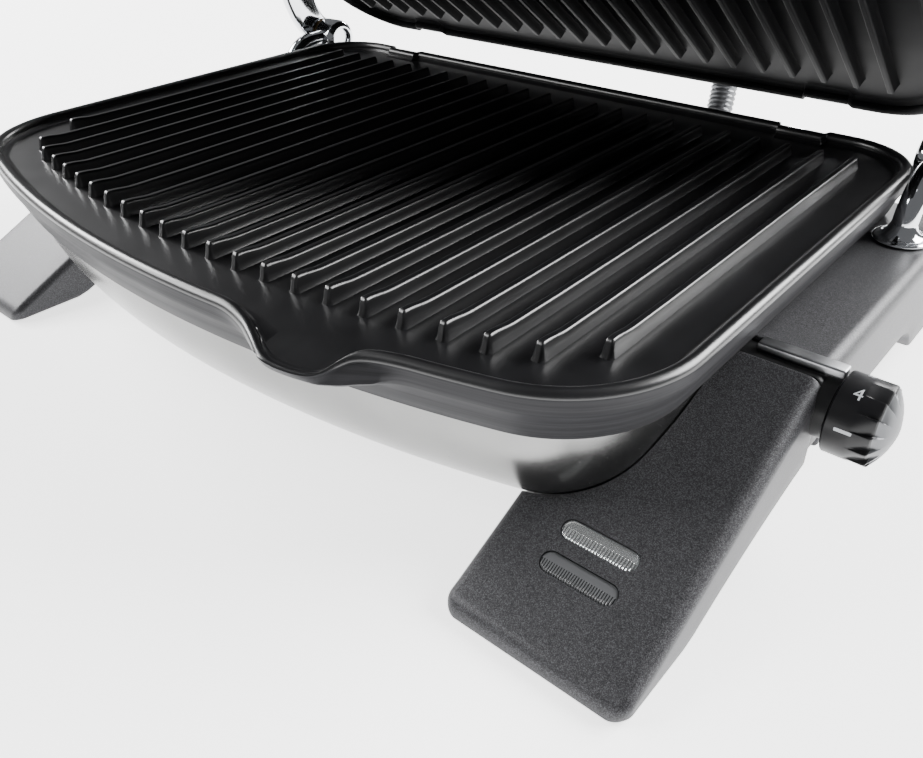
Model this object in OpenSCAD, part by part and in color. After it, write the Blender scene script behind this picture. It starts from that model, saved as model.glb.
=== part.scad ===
// Electric contact grill: a ribbed lower plate on a steel bowl between two side rails,
// and a ribbed lid hung on a chrome handle frame. The lid is modelled open.
// Frame: X to the right, Y to the back, Z up, origin on the table under the middle.

/* [Cooking plates] */
// Width of each cooking plate over its rim
plate_width = 330; // [316:1:340]
// Depth of each cooking plate from the bowed front to the straight back
plate_depth = 249.5; // [244:0.5:252]
// Radius of the bowed front edge in plan
front_bow_radius = 471; // [440:1:520]
// Radius of the front corners in plan
front_corner_radius = 46; // [43:1:48]
// Radius of the rear corners in plan
rear_corner_radius = 31; // [29:1:34]
// Thickness of the cast plate floor
casting = 3.4; // [2.8:0.1:3.8]
// Height of the skirt from the rim top down
skirt_height = 18; // [16:0.5:18.5]
// Number of cooking ribs
rib_count = 23; // [15:1:25]
// Height of a cooking rib above the plate floor
rib_height = 4.2; // [3.6:0.1:4.6]
// Height of the tooth at the front end of a lower rib
tooth_height = 5.8; // [5.2:0.1:6.2]
// Width of a rib at its foot
rib_foot = 4.4; // [3.6:0.1:5]
// Width of a rib at its rounded crest
rib_crest = 2.6; // [2:0.1:3]

/* [Pouring spout] */
// Distance of the spout from the middle of the plate
spout_offset = 78.5; // [60:0.5:84]
// Radius of the spout lip in plan
spout_radius = 28; // [25:0.5:29]
// Downward tilt of the spout lip in degrees
spout_tilt = 7; // [4:0.5:9]

/* [Bowl, lid and height] */
// Height of the rib tops above the table
plate_level = 72; // [71:0.5:76]
// Distance of the steel bowl wall inside the plate rim
bowl_inset = 11; // [10:0.5:12]
// Depth of the straight part of the bowl wall under the plate
bowl_wall = 26; // [24:0.5:27]
// Thickness of the pressed steel
steel = 1.5; // [1.2:0.1:2]

/* [Side rails] */
// Width of a side rail
rail_width = 59; // [54:1:61]
// Reach of a side rail beyond the plate rim
rail_reach = 19; // [17:0.5:23]
// Reach of the front feet in front of the rib ends
foot_reach = 219; // [214:0.5:222]
// Height of the soft arch under a rail above the table
arch_height = 24.5; // [20:0.5:26]
// Length of a lamp window
window_length = 24.5; // [20:0.5:28]
// Width of a lamp window
window_width = 6.6; // [5:0.2:7.4]

/* [Thermostat knob] */
// Radius of the knob
knob_radius = 12.4; // [10.5:0.1:12.8]
// Length of the knob up to its domed end
knob_length = 13; // [11:0.5:16]
// Number of grip steps around the knob
grip_steps = 14; // [8:1:18]

/* [Hinge and handle] */
// Height of the lid opening in degrees
lid_open = 35; // [25:1:40]
// Swing of the handle frame from closed to the modelled pose in degrees
frame_swing = 51; // [40:1:55]
// Radius of the boss on top of each hinge post
post_boss_radius = 10; // [9:0.5:11]
// Thickness of a handle arm
arm_thickness = 5.4; // [4:0.2:5.4]
// Radius of the handle grip
grip_radius = 11; // [9:0.5:13]
// Outer radius of the armoured conduit
conduit_radius = 6.3; // [5:0.1:6.8]

/* [Hidden] */
$fn = 96;
smooth_fn = 300;

// colours
cast_black = "#2b2c2e";
steel_grey = "#b9bbbd";
rail_grey = "#4a4b4e";
chrome = "#d4d6d8";
black = "#1b1b1c";

// clearances
seat = 0.1;
running = 0.05;
body_gap = 0.4;

// plan of the plates: y = 0 at the rear rib ends, z = 0 at the rib tops
rear_margin = 24;
half = plate_width / 2;
plate_front = rear_margin - plate_depth;
plate_plan = [half, plate_front, rear_margin, front_bow_radius, front_corner_radius, rear_corner_radius];
bowl_corner = front_corner_radius - bowl_inset;
bowl_plan = [half - bowl_inset, plate_front + bowl_inset, rear_margin - bowl_inset,
             front_bow_radius - bowl_inset, bowl_corner, bowl_corner];
bowl_top = -9;
bowl_round = bowl_corner - 1;
bowl_bottom = -bowl_wall - bowl_round;
floor_z = -rib_height;
under_z = floor_z - casting;
part_line = 0.7;

// ribs
rib_edge = 22;
rib_pitch = (plate_width - 2 * rib_edge) / (rib_count - 1);
tooth_margin = 21.5;
tooth_line_radius = 560;
tooth_corner_inset = 19;
tooth_length = 3.2;
tooth_widening = 0.25;
ramp_steep = 9;
ramp_long = 32;
ramp_mid_height = rib_height + 0.3 * (tooth_height - rib_height);
upper_rib_setback = 16;

// rim section
bead = 2.4;
skirt_draft = 5;
skirt_wall = 2.6;
skirt_bevel = 0.3;
floor_step = 0.05;
rim_band = 8.5;

// spout
lip_half = 9;
spout_half = 36;
spout_wall = 2.8;
lip_thickness = 3;
spout_pivot = 13.5;
spout_back = 7;

// rear notches in the rims
notch_x = half - 51;
notch_width = 20;
notch_depth = 3.2;

// rails
table_z = -plate_level;
rail_outer = half + rail_reach;
rail_inner = rail_outer - rail_width;
rail_top = -20;
groove_y = -122.5;
bar_front = -119;
bar_back = -114;
slope_run = 93;
slope_drop = 43.2;
slope = atan(slope_drop / slope_run);
nose_radius = 6;
foot_clear = 0.8;
arch_y = -70;
arch_radius = 310;
arch_rear_y = -40;
arch_rear_radius = 22;
rail_rear = 38;
rail_rear_radius = 28;
rear_foot_top = 11;
edge_out = 9;
edge_in = 5;
corner_plan = 9;
window_y = [29.8 - foot_reach, 20 - foot_reach];
window_x = rail_outer - 29.2;
window_depth = 6.5;

// knob
knob_y = -119;
knob_z = -31.4;
collar_face = rail_outer + 3.5;
knob_face = collar_face + body_gap;
knob_dome = 5;
shaft_radius = 3;
collar_radius = knob_radius - 0.4;
scoop_radius = knob_radius + 3.1;
scoop_depth = 12;

// hinge, handle and lid pose
hinge_y = 16;
hinge_z = 0;
stem_radius = 4.5;
stem_bend = 18;
stem_x = half + stem_radius + 0.5;
post_y = -18;
flange_radius = 10;
flange_height = 1.6;
boss_inner = half - 4;
boss_outer = stem_x + stem_radius + 0.2;
boss_chamfer = 2.2;
pin_radius = 4;
washer = 1;
arm_x = boss_outer + washer + body_gap;
pivot_y = -54;
pivot_z = 39;
pivot_radius = 5;
grip_y = -252;
grip_z = 34;
lug_radius = 13;

// rear pins of the plate latch
pin_bore = 2.75;
pin_y = 12;
pin_z = -23;

// conduit
route = [
  [60, 21.1, -30], [60, 27, -30], [60, 36, -29.8], [59.5, 46, -27.5], [58.5, 56, -21], [57, 63.5, -11],
  [55.5, 68.5, 0], [54, 71, 11], [52.8, 70.3, 19.5], [52, 66.6, 24.2], [52, 62.6, 27], [52, 59.2, 29.3]
];
conduit_sides = 12;
conduit_steps = 4;
gland_base = [60, -30];
gland_lid = [52, 31];
gland_end = 21;

// frame shift: the origin is on the table, under the middle of the whole grill
mid_x = 10.54;
mid_y = -77.92;

// ---------- plan outlines ----------
function inset(o, d) = [o[0] - d, o[1] + d, o[2] - d, o[3] - d, o[4] - d, o[5] - d];
function bow_y(o) = o[1] + o[3];
function front_cx(o) = o[0] - o[4];
function front_cy(o) = bow_y(o) - sqrt(pow(o[3] - o[4], 2) - pow(front_cx(o), 2));
function rear_cx(o) = o[0] - o[5];
function rear_cy(o) = o[2] - o[5];
function outline_y(o, x) = bow_y(o) - sqrt(pow(o[3], 2) - x * x);

// the bowed front and the front corners meet on a line from the bow's centre through the corner's
wedge_reach = 0.25;
function wedge_x(o) = front_cx(o) * (1 + wedge_reach);
function wedge_y(o) = front_cy(o) - wedge_reach * (bow_y(o) - front_cy(o));

module bow_wedge(o) {
  polygon([[-front_cx(o), front_cy(o)], [-wedge_x(o), wedge_y(o)],
           [wedge_x(o), wedge_y(o)], [front_cx(o), front_cy(o)]]);
}

module corner_wedge(o) {
  polygon([[front_cx(o), front_cy(o)], [wedge_x(o), wedge_y(o)],
           [o[0] + 40, wedge_y(o)], [o[0] + 40, front_cy(o)]]);
}

module bow_sector(o, radius) {
  intersection() {
    translate([0, bow_y(o)]) circle(r = radius, $fn = smooth_fn);
    bow_wedge(o);
  }
}

module outline2d(o) {
  bow_sector(o, o[3]);
  for (s = [-1, 1]) {
    translate([s * front_cx(o), front_cy(o)]) circle(r = o[4]);
    translate([s * rear_cx(o), rear_cy(o)]) circle(r = o[5]);
  }
  translate([-o[0], front_cy(o)]) square([2 * o[0], rear_cy(o) - front_cy(o)]);
  translate([-rear_cx(o), front_cy(o)]) square([2 * rear_cx(o), o[2] - front_cy(o)]);
}

// sweeps a section around the plan; section x = 0 lies on the outline, section y is height
module rim_sweep(o) {
  for (s = [0, 1]) mirror([s, 0, 0]) {
    intersection() {
      translate([front_cx(o), front_cy(o), 0]) rotate_extrude() translate([o[4], 0]) children();
      translate([0, 0, -120]) linear_extrude(180) corner_wedge(o);
    }
    translate([o[0], rear_cy(o), 0]) rotate([90, 0, 0])
      linear_extrude(rear_cy(o) - front_cy(o)) children();
    translate([rear_cx(o), rear_cy(o), 0]) rotate_extrude(angle = 90) translate([o[5], 0]) children();
  }
  translate([-rear_cx(o), o[2], 0]) rotate([90, 0, 90]) linear_extrude(2 * rear_cx(o)) children();
  intersection() {
    translate([0, bow_y(o), 0]) rotate_extrude($fn = smooth_fn) translate([o[3], 0]) children();
    translate([0, 0, -120]) linear_extrude(180) bow_wedge(o);
  }
}

// quarter-round edge of a basin as points from the wall foot down to the floor
edge_steps = 10;
edge_lap = 0.6;
function edge_arc(radius, inner) = [for (i = [0:edge_steps]) let (a = -90 * i / edge_steps)
  [inner * cos(a) - radius, inner * sin(a) - bowl_wall]];
function backwards(list) = [for (i = [len(list) - 1:-1:0]) list[i]];

// closed basin with a quarter-round edge
module basin(o, radius, top) {
  rim_sweep(o) polygon(concat(
    [[0, top], [-radius - edge_lap, top], [-radius - edge_lap, -bowl_wall - radius]],
    backwards(edge_arc(radius, radius))));
  translate([0, 0, -bowl_wall - radius]) linear_extrude(bowl_wall + radius + top) outline2d(inset(o, radius));
}

// ---------- poses ----------
module placed() { translate([-mid_x, -mid_y, plate_level]) children(); }
module mirrored_x() { mirror([1, 0, 0]) children(); }
module both_sides() { children(); mirror([1, 0, 0]) children(); }

function swung_y(y, z, a) = hinge_y + (y - hinge_y) * cos(a) + (z - hinge_z) * sin(a);
function swung_z(y, z, a) = hinge_z - (y - hinge_y) * sin(a) + (z - hinge_z) * cos(a);

// handle frame parts are drawn closed and swung about the post bosses
module frame_pose() {
  placed() translate([0, hinge_y, hinge_z]) rotate([-frame_swing, 0, 0])
    translate([0, -hinge_y, -hinge_z]) children();
}
// lid parts are drawn closed and turned about the swung lid pivots
module lid_pose() {
  placed() translate([0, swung_y(pivot_y, pivot_z, frame_swing), swung_z(pivot_y, pivot_z, frame_swing)])
    rotate([-lid_open, 0, 0]) translate([0, -pivot_y, -pivot_z]) children();
}
// turns a base-side shape over to the lid side of the parting line
module turned_over() { translate([0, 0, 2 * part_line]) mirror([0, 0, 1]) children(); }

// ---------- cooking plates ----------
function rib_x(i) = (i - (rib_count - 1) / 2) * rib_pitch;
function tooth_y(x) = abs(x) > front_cx(plate_plan)
  ? front_cy(plate_plan) - sqrt(pow(front_corner_radius - tooth_corner_inset, 2)
      - pow(abs(x) - front_cx(plate_plan), 2))
  : plate_front + tooth_margin + x * x / (2 * tooth_line_radius);

module rib2d(height, wider = 0) {
  foot = rib_foot / 2 + wider;
  crest = rib_crest / 2 + wider;
  polygon([[-foot, -0.4], [foot, -0.4], [crest, height - crest], [-crest, height - crest]]);
  translate([0, height - crest]) circle(r = crest, $fn = 32);
}

// a stretch of rib from y0 back to y1, falling from height h0 to h1
module rib_run(x, y0, y1, h0, h1) {
  tilt = atan((h0 - h1) / (y1 - y0));
  translate([x, y1, floor_z]) rotate([90 - tilt, 0, 0])
    linear_extrude((y1 - y0) / cos(tilt)) rib2d(h1);
}

module toothed_rib(x) {
  y0 = tooth_y(x);
  ramp = [[y0, 0], [y0 + ramp_long, 0], [y0 + ramp_long, rib_height - 0.1],
    [y0 + tooth_length + ramp_steep, ramp_mid_height], [y0 + tooth_length, tooth_height - 0.3],
    [y0 + 0.4, tooth_height - 0.3], [y0, tooth_height - 1]];
  rib_run(x, y0 + 1, 0, rib_height, rib_height);
  intersection() {
    translate([x, y0 + ramp_long + 1, floor_z - 0.2]) rotate([90, 0, 0])
      linear_extrude(ramp_long + 2) rib2d(tooth_height + 0.2, tooth_widening);
    translate([x - rib_foot, 0, floor_z]) rotate([90, 0, 90]) linear_extrude(2 * rib_foot)
      polygon([for (p = ramp) [p[0], p[1] == 0 ? -0.4 : p[1]]]);
  }
}

module plain_rib(x) {
  rib_run(x, tooth_y(x) + upper_rib_setback, 0, rib_height, rib_height);
}

bead_step = 22.5;
module rim2d() {
  polygon(concat(
    [[-skirt_draft, -skirt_height], [-skirt_draft - skirt_wall, skirt_bevel - skirt_height],
     [-skirt_wall - 2, under_z], [-rim_band, under_z], [-rim_band, floor_z], [-2 * bead - 1, floor_z + 1]],
    [for (a = [180:-bead_step:0]) [bead * (cos(a) - 1), bead * (sin(a) - 1)]]));
}

module plate_blank() {
  rim_sweep(plate_plan) rim2d();
  translate([0, 0, under_z + floor_step]) linear_extrude(casting - 2 * floor_step)
    outline2d(inset(plate_plan, rim_band - 1));
}

module rim_notches() {
  for (s = [-1, 1]) translate([s * notch_x - notch_width / 2, rear_margin - notch_depth, -12])
    cube([notch_width, notch_depth + 5, 20]);
}

// height of the spout edge at a distance dx from its middle
function blend(t) = t < 0 ? 0 : t > 1 ? 1 : t * t * (3 - 2 * t);
function spout_edge(dx) = floor_z - 3 + (3 - floor_z + 0.5)
  * blend((abs(dx) - lip_half) / (spout_half - lip_half));
spout_steps = 24;

module above_spout_edge() {
  translate([spout_offset, plate_front + 30, 0]) rotate([90, 0, 0]) linear_extrude(60)
    polygon(concat(
      [for (i = [0:spout_steps]) let (dx = spout_half * (2 * i / spout_steps - 1)) [dx, spout_edge(dx)]],
      [[spout_half, 9], [-spout_half, 9]]));
}

module spout_tray(height, radius) {
  translate([spout_offset, outline_y(plate_plan, spout_offset) + spout_pivot - 7, floor_z])
    rotate([spout_tilt, 0, 0]) translate([0, spout_back, -lip_thickness]) cylinder(r = radius, h = height);
}

module beyond_rim(d) {
  translate([0, 0, -30]) linear_extrude(60) difference() {
    translate([spout_offset - 45, plate_front - 30]) square([90, 60]);
    outline2d(inset(plate_plan, d));
  }
}

module spout_body() {
  intersection() {
    spout_tray(lip_thickness, spout_radius);
    beyond_rim(rim_band - 1);
  }
  difference() {
    intersection() {
      difference() { spout_tray(lip_thickness + 7, spout_radius); spout_tray(20, spout_radius - spout_wall); }
      beyond_rim(bead);
    }
    above_spout_edge();
  }
}

module lower_plate() color(cast_black) placed() {
  difference() {
    plate_blank();
    rim_notches();
    intersection() {
      above_spout_edge();
      translate([0, 0, floor_z]) linear_extrude(9) difference() {
        outline2d(inset(plate_plan, -5));
        outline2d(inset(plate_plan, rim_band));
      }
    }
  }
  for (i = [0:rib_count - 1]) toothed_rib(rib_x(i));
  spout_body();
}

module upper_plate() color(cast_black) lid_pose() turned_over() {
  difference() { plate_blank(); rim_notches(); }
  for (i = [0:rib_count - 1]) plain_rib(rib_x(i));
}

// ---------- steel shells ----------
module steel_basin() {
  rim_sweep(bowl_plan) polygon(concat(
    [[0, bowl_top], [-steel, bowl_top]], edge_arc(bowl_round, bowl_round - steel),
    [[-bowl_round - edge_lap, bowl_bottom + steel], [-bowl_round - edge_lap, bowl_bottom]],
    backwards(edge_arc(bowl_round, bowl_round))));
  translate([0, 0, bowl_bottom]) linear_extrude(steel) outline2d(inset(bowl_plan, bowl_round));
}

base_screw_x = [75 - half, half - 75];
base_screw_y = [plate_front + 60.5, rear_margin - 64];
module screw_holes() {
  for (x = base_screw_x, y = base_screw_y)
    translate([x, y, bowl_bottom - 5]) cylinder(r = 2.1, h = 20, $fn = 32);
}

module base_bowl() color(steel_grey) placed() difference() {
  steel_basin();
  screw_holes();
  gland_bore(gland_base[0], gland_base[1], 7.5);
  gland_bore(-70, gland_base[1], 6.5);
  both_sides() translate([-6, 0, 0]) rear_pin(pin_bore);
}

module lid_shell() color(steel_grey) lid_pose() difference() {
  turned_over() steel_basin();
  translate([gland_lid[0], 0, gland_lid[1]]) rotate([-90, 0, 0]) cylinder(r = 7.5, h = 30);
}

module gland_bore(x, z, radius) { translate([x, 0, z]) rotate([-90, 0, 0]) cylinder(r = radius, h = 30); }

liner_top = -14.2;
liner = 1.3;
support_x = half - 70;
module liner_tray() {
  translate([0, 0, liner_top - liner]) linear_extrude(liner) outline2d(inset(bowl_plan, steel + seat));
  for (x = [-support_x, support_x], y = [-150, -50]) translate([x, y, liner_top - 0.2])
    cylinder(r = 5, h = under_z - seat - liner_top + 0.2);
}
module base_liner() color("#8f9294") placed() liner_tray();
module lid_liner() color("#8f9294") lid_pose() turned_over() liner_tray();

// ---------- heating elements ----------
element_radius = 3.1;
element_x = half - 43;
element_front = -172;
element_back = -28;
element_bend = 26;
element_z = liner_top + element_radius + seat / 2;

module element_loop() {
  translate([0, 0, element_z]) {
    for (s = [-1, 1]) {
      translate([s * element_x, element_back - element_bend, 0]) rotate([90, 0, 0])
        cylinder(r = element_radius, h = element_back - element_front - 2 * element_bend);
      translate([s * (element_x - element_bend), element_back - element_bend, 0])
        rotate([0, 0, s > 0 ? 0 : 90]) rotate_extrude(angle = 90)
          translate([element_bend, 0]) circle(r = element_radius, $fn = 32);
      translate([s * (element_x - element_bend), element_front + element_bend, 0])
        rotate([0, 0, s > 0 ? -90 : 180]) rotate_extrude(angle = 90)
          translate([element_bend, 0]) circle(r = element_radius, $fn = 32);
    }
    for (y = [element_front, element_back]) translate([element_bend - element_x, y, 0]) rotate([0, 90, 0])
      cylinder(r = element_radius, h = 2 * (element_x - element_bend));
  }
}
module lower_element() color("#6b6863") placed() element_loop();
module upper_element() color("#6b6863") lid_pose() turned_over() element_loop();

// ---------- plate hooks ----------
hook_width = 16;
hook_wall = 1.6;
module plate_hook() {
  translate([notch_x - hook_width / 2, rear_margin - bowl_inset + seat / 2, -skirt_height - 4.5])
    cube([hook_width, bowl_inset + 1.2, hook_wall]);
  translate([notch_x - hook_width / 2, rear_margin + 1.2 - hook_wall, -skirt_height - 4.5])
    cube([hook_width, hook_wall, skirt_height + 2.5]);
  translate([notch_x - hook_width / 2 - 1.5, rear_margin - 0.9, -3]) rotate([0, 90, 0])
    cylinder(r = 1.3, h = hook_width + 3, $fn = 32);
}
module plate_hooks_base() color(chrome) placed() both_sides() plate_hook();
module plate_hooks_lid() color(chrome) lid_pose() turned_over() both_sides() plate_hook();

// ---------- side rails ----------
function slope_z(y) = rail_top - 1 + (y - groove_y) * tan(slope);
nose_y = nose_radius - foot_reach;
nose_z = slope_z(nose_y - nose_radius * sin(slope)) - nose_radius * cos(slope);

module arch2d() {
  intersection() {
    translate([arch_y, table_z + arch_height - arch_radius]) circle(r = arch_radius, $fn = smooth_fn);
    translate([arch_y - 160, table_z - 9]) square([160, arch_height + 20]);
  }
  translate([arch_y - 0.5, table_z - 9]) square([arch_rear_y - arch_y + 0.5, arch_height + 9]);
  translate([arch_rear_y, table_z + arch_height - arch_rear_radius]) circle(r = arch_rear_radius);
}

// extrudes a side view (y, z) across the rail
module across_rail(x0, x1) {
  translate([x0, 0, 0]) rotate([90, 0, 90]) linear_extrude(x1 - x0) children();
}

module on_slope(y) {
  translate([0, y, slope_z(y)]) rotate([slope, 0, 0]) children();
}

// cross-section of a rail top with rounded shoulders; y = 0 is the top
module shoulder2d(depth) {
  translate([rail_inner, -depth]) square([rail_width, depth - edge_out]);
  translate([rail_inner + edge_in, -edge_out]) square([rail_width - edge_in - edge_out, edge_out]);
  translate([rail_inner, -edge_out - 1]) square([edge_in + 1, edge_out + 1 - edge_in]);
  translate([rail_inner + edge_in, -edge_in]) circle(r = edge_in);
  translate([rail_outer - edge_out, -edge_out]) circle(r = edge_out);
}

module front_leg_body() {
  intersection() {
    across_rail(rail_inner - 1, rail_outer + 1) difference() {
      union() {
        translate([nose_y, nose_z]) circle(r = nose_radius);
        polygon([
          [nose_y, nose_z], [nose_y, table_z - 9], [groove_y, table_z - 9],
          [groove_y, slope_z(groove_y) + 3],
          [nose_y - nose_radius * sin(slope), nose_z + nose_radius * cos(slope) + 3],
          [nose_y - nose_radius * sin(slope), nose_z + nose_radius * cos(slope)]
        ]);
      }
      arch2d();
      translate([-foot_reach - 9, table_z - 20]) square([120, 20 + foot_clear]);
    }
    on_slope(groove_y) rotate([90, 0, 0]) translate([0, 0, -9]) linear_extrude(140) shoulder2d(120);
    translate([0, 0, table_z]) linear_extrude(plate_level) {
      translate([rail_inner - 2, corner_plan - foot_reach]) square([rail_width + 2, foot_reach]);
      translate([rail_inner - 2 + corner_plan, -foot_reach]) square([rail_width + 2 - 2 * corner_plan, 50]);
      for (x = [rail_inner - 2 + corner_plan, rail_outer - corner_plan])
        translate([x, corner_plan - foot_reach]) circle(r = corner_plan);
    }
  }
}

module rear_leg_body() {
  intersection() {
    across_rail(rail_inner - 1, rail_outer + 1) difference() {
      union() {
        translate([bar_back + seat, table_z + rear_foot_top]) square([rail_rear - rail_rear_radius
          - bar_back - seat, rail_top + 3 - table_z - rear_foot_top]);
        translate([bar_back + seat, table_z + rear_foot_top]) square([rail_rear - bar_back - seat,
          rail_top - rail_rear_radius - table_z - rear_foot_top]);
        intersection() {
          translate([rail_rear - rail_rear_radius, rail_top - rail_rear_radius]) circle(r = rail_rear_radius);
          translate([rail_rear - rail_rear_radius, table_z + rear_foot_top]) square(2 * rail_rear_radius);
        }
      }
      arch2d();
    }
    translate([0, rail_rear + 9, rail_top]) rotate([90, 0, 0]) linear_extrude(180) shoulder2d(70);
  }
}

module rail_cutouts() {
  basin(inset(bowl_plan, -body_gap), bowl_round + body_gap, 20);
  translate([rail_inner - 20, plate_front - 15, -skirt_height - 1.2])
    cube([half - rail_inner + 20.5, plate_depth + 50, 40]);
}

module knob_axis() { translate([0, knob_y, knob_z]) rotate([0, 90, 0]) children(); }
module collar_space() {
  knob_axis() translate([0, 0, rail_outer - scoop_depth]) cylinder(r = scoop_radius, h = scoop_depth + 9);
}

module pill2d(length, width) {
  square([length - width, width], center = true);
  for (s = [-1, 1]) translate([s * (length - width) / 2, 0]) circle(r = width / 2);
}

foot_pad = [rail_width - 15, 15, 4];
module front_pad(grow) {
  translate([rail_inner + 7.5 - grow, -foot_reach + 7 - grow, table_z])
    cube([foot_pad[0] + 2 * grow, foot_pad[1] + 2 * grow, foot_pad[2] + grow]);
}
rear_pad_radius = 12;
module rear_pad(grow) {
  translate([rail_outer - 19, 9, table_z]) cylinder(r = rear_pad_radius + grow, h = rear_foot_top + 3 + grow);
}
leg_screw_spots = [
  [rail_inner + 10, 29 - foot_reach, foot_clear], [rail_outer - 8, 29 - foot_reach, foot_clear],
  [rail_inner + 15, 24, rear_foot_top], [rail_outer - 8, 30, rear_foot_top]
];
module leg_screw(spot, radius, grow) {
  translate([spot[0], spot[1], table_z + spot[2]]) cylinder(r = radius + grow, h = 5 + grow, $fn = 32);
}

module front_leg_shape(spaces) {
  difference() {
    front_leg_body();
    rail_cutouts();
    front_pad(seat);
    for (i = [0, 1]) leg_screw(leg_screw_spots[i], 3, seat);
    if (spaces) {
      collar_space();
      for (y = window_y) on_slope(y) translate([window_x, 0, -window_depth])
        linear_extrude(window_depth + 9) pill2d(window_length, window_width);
    }
  }
}

module rear_leg_shape(spaces) {
  difference() {
    rear_leg_body();
    rail_cutouts();
    translate([rail_inner - 1, pin_y - 4, pin_z - 3.2]) cube([36, 8, 20]);
    translate([1, 0, 0]) rear_pin(pin_bore + seat);
    rear_pad(seat);
    for (i = [2, 3]) leg_screw(leg_screw_spots[i], 3, seat);
    if (spaces) collar_space();
  }
}

module front_leg_right() color(rail_grey) placed() front_leg_shape(true);
module front_leg_left() color(rail_grey) placed() mirrored_x() front_leg_shape(false);
module rear_leg_right() color(rail_grey) placed() rear_leg_shape(true);
module rear_leg_left() color(rail_grey) placed() mirrored_x() rear_leg_shape(false);

module front_feet() color(black) placed() both_sides() front_pad(0);
module rear_feet() color(black) placed() both_sides() rear_pad(0);
module leg_screws() color(chrome) placed() both_sides()
  for (s = leg_screw_spots) leg_screw(s, 3, 0);
module base_screws() color(chrome) placed() for (x = base_screw_x, y = base_screw_y) {
  translate([x, y, bowl_bottom - 1.6 - seat / 2]) cylinder(r = 4, h = 1.6, $fn = 32);
  translate([x, y, bowl_bottom - 1.6]) cylinder(r = 2, h = 9, $fn = 32);
}

// ---------- control block, pointer and thermostat ----------
band_y0 = groove_y + seat;
band_y1 = bar_back;
band_x0 = half - bowl_inset + 5;
thermostat_x = rail_outer - scoop_depth - 1;

module seam_block() {
  difference() {
    translate([band_x0, band_y0, table_z + arch_height + 0.5])
      cube([rail_outer - band_x0 - 0.6, band_y1 - band_y0, rail_top - 1.4 - table_z - arch_height - 0.5]);
    rail_cutouts();
  }
}

module bar_space(grow) {
  translate([band_x0 + 2 - grow, bar_front - grow, rail_top - 1.6 - grow])
    cube([collar_face - band_x0 - 2 + grow, bar_back - bar_front + 2 * grow, 3 + grow]);
}

module control_collar() color(black) placed() difference() {
  union() {
    seam_block();
    intersection() {
      knob_axis() translate([0, 0, rail_outer - scoop_depth + seat])
        cylinder(r = scoop_radius - seat, h = scoop_depth + 0.4);
      translate([0, knob_y - 40, rail_top - 60]) cube([300, 80, 59.4]);
    }
    knob_axis() translate([0, 0, rail_outer - 2]) cylinder(r = collar_radius, h = collar_face - rail_outer + 2);
  }
  bar_space(seat);
  knob_axis() translate([0, 0, thermostat_x - 40]) cylinder(r = shaft_radius + 0.4, h = 90);
  translate([thermostat_x - 13 - seat, knob_y - 9 - seat, knob_z - 9 - seat])
    cube([13 + 2 * seat, 18 + 2 * seat, 18 + 2 * seat]);
}

module seam_band_left() color(black) placed() mirrored_x() seam_block();
module pointer_bar() color(steel_grey) placed() bar_space(0);

module thermostat() color("#6f7275") placed() difference() {
  intersection() {
    translate([thermostat_x - 13, knob_y - 9, knob_z - 9]) cube([13, 18, 18]);
    translate([0, band_y0 + 0.2, -60]) cube([300, band_y1 - band_y0 - 0.2, 60]);
  }
  knob_axis() translate([0, 0, thermostat_x - 6]) cylinder(r = shaft_radius + running, h = 20);
  rail_cutouts();
}

module knob_shaft() color(chrome) placed() knob_axis()
  translate([0, 0, thermostat_x - 5.5]) cylinder(r = shaft_radius, h = knob_face + 9 - thermostat_x + 5.5);

module knob() color(black) placed() knob_axis() difference() {
  translate([0, 0, knob_face]) rotate_extrude() {
    square([knob_radius, knob_length]);
    intersection() {
      translate([0, knob_length - 14]) circle(r = sqrt(pow(knob_radius - 0.8, 2) + 196), $fn = smooth_fn);
      translate([0, knob_length - 0.5]) square([knob_radius, 20]);
    }
  }
  translate([0, 0, knob_face - 1]) cylinder(r = shaft_radius + 0.02, h = 10);
  for (i = [0:grip_steps - 1]) rotate([0, 0, i * 360 / grip_steps])
    translate([knob_radius - 1, -0.3, knob_face + knob_length * 0.56]) rotate([0, 0, 16]) cube([4, 3.4, 20]);
}

// ---------- lamps ----------
module lens(y) {
  on_slope(y) translate([window_x, 0, -2]) linear_extrude(1.8)
    pill2d(window_length - 2 * seat, window_width - 2 * seat);
}
module power_lens() color("#e9eceb") placed() lens(window_y[0]);
module ready_lens() color("#8d8f8e") placed() lens(window_y[1]);
module lamp_trays() color(chrome) placed() for (y = window_y) on_slope(y) translate([window_x, 0, 0.05 - window_depth])
  difference() {
    linear_extrude(window_depth - 2.1) pill2d(window_length - 2 * seat, window_width - 2 * seat);
    translate([0, 0, 0.8]) linear_extrude(window_depth) pill2d(window_length - 2, window_width - 2);
  }
module lamp_tubes() color("#e07a4a") placed() for (y = window_y)
  on_slope(y) translate([window_x - 8, 0, 0.85 - window_depth + 1.4]) rotate([0, 90, 0]) cylinder(r = 1.35, h = 16, $fn = 24);

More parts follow.
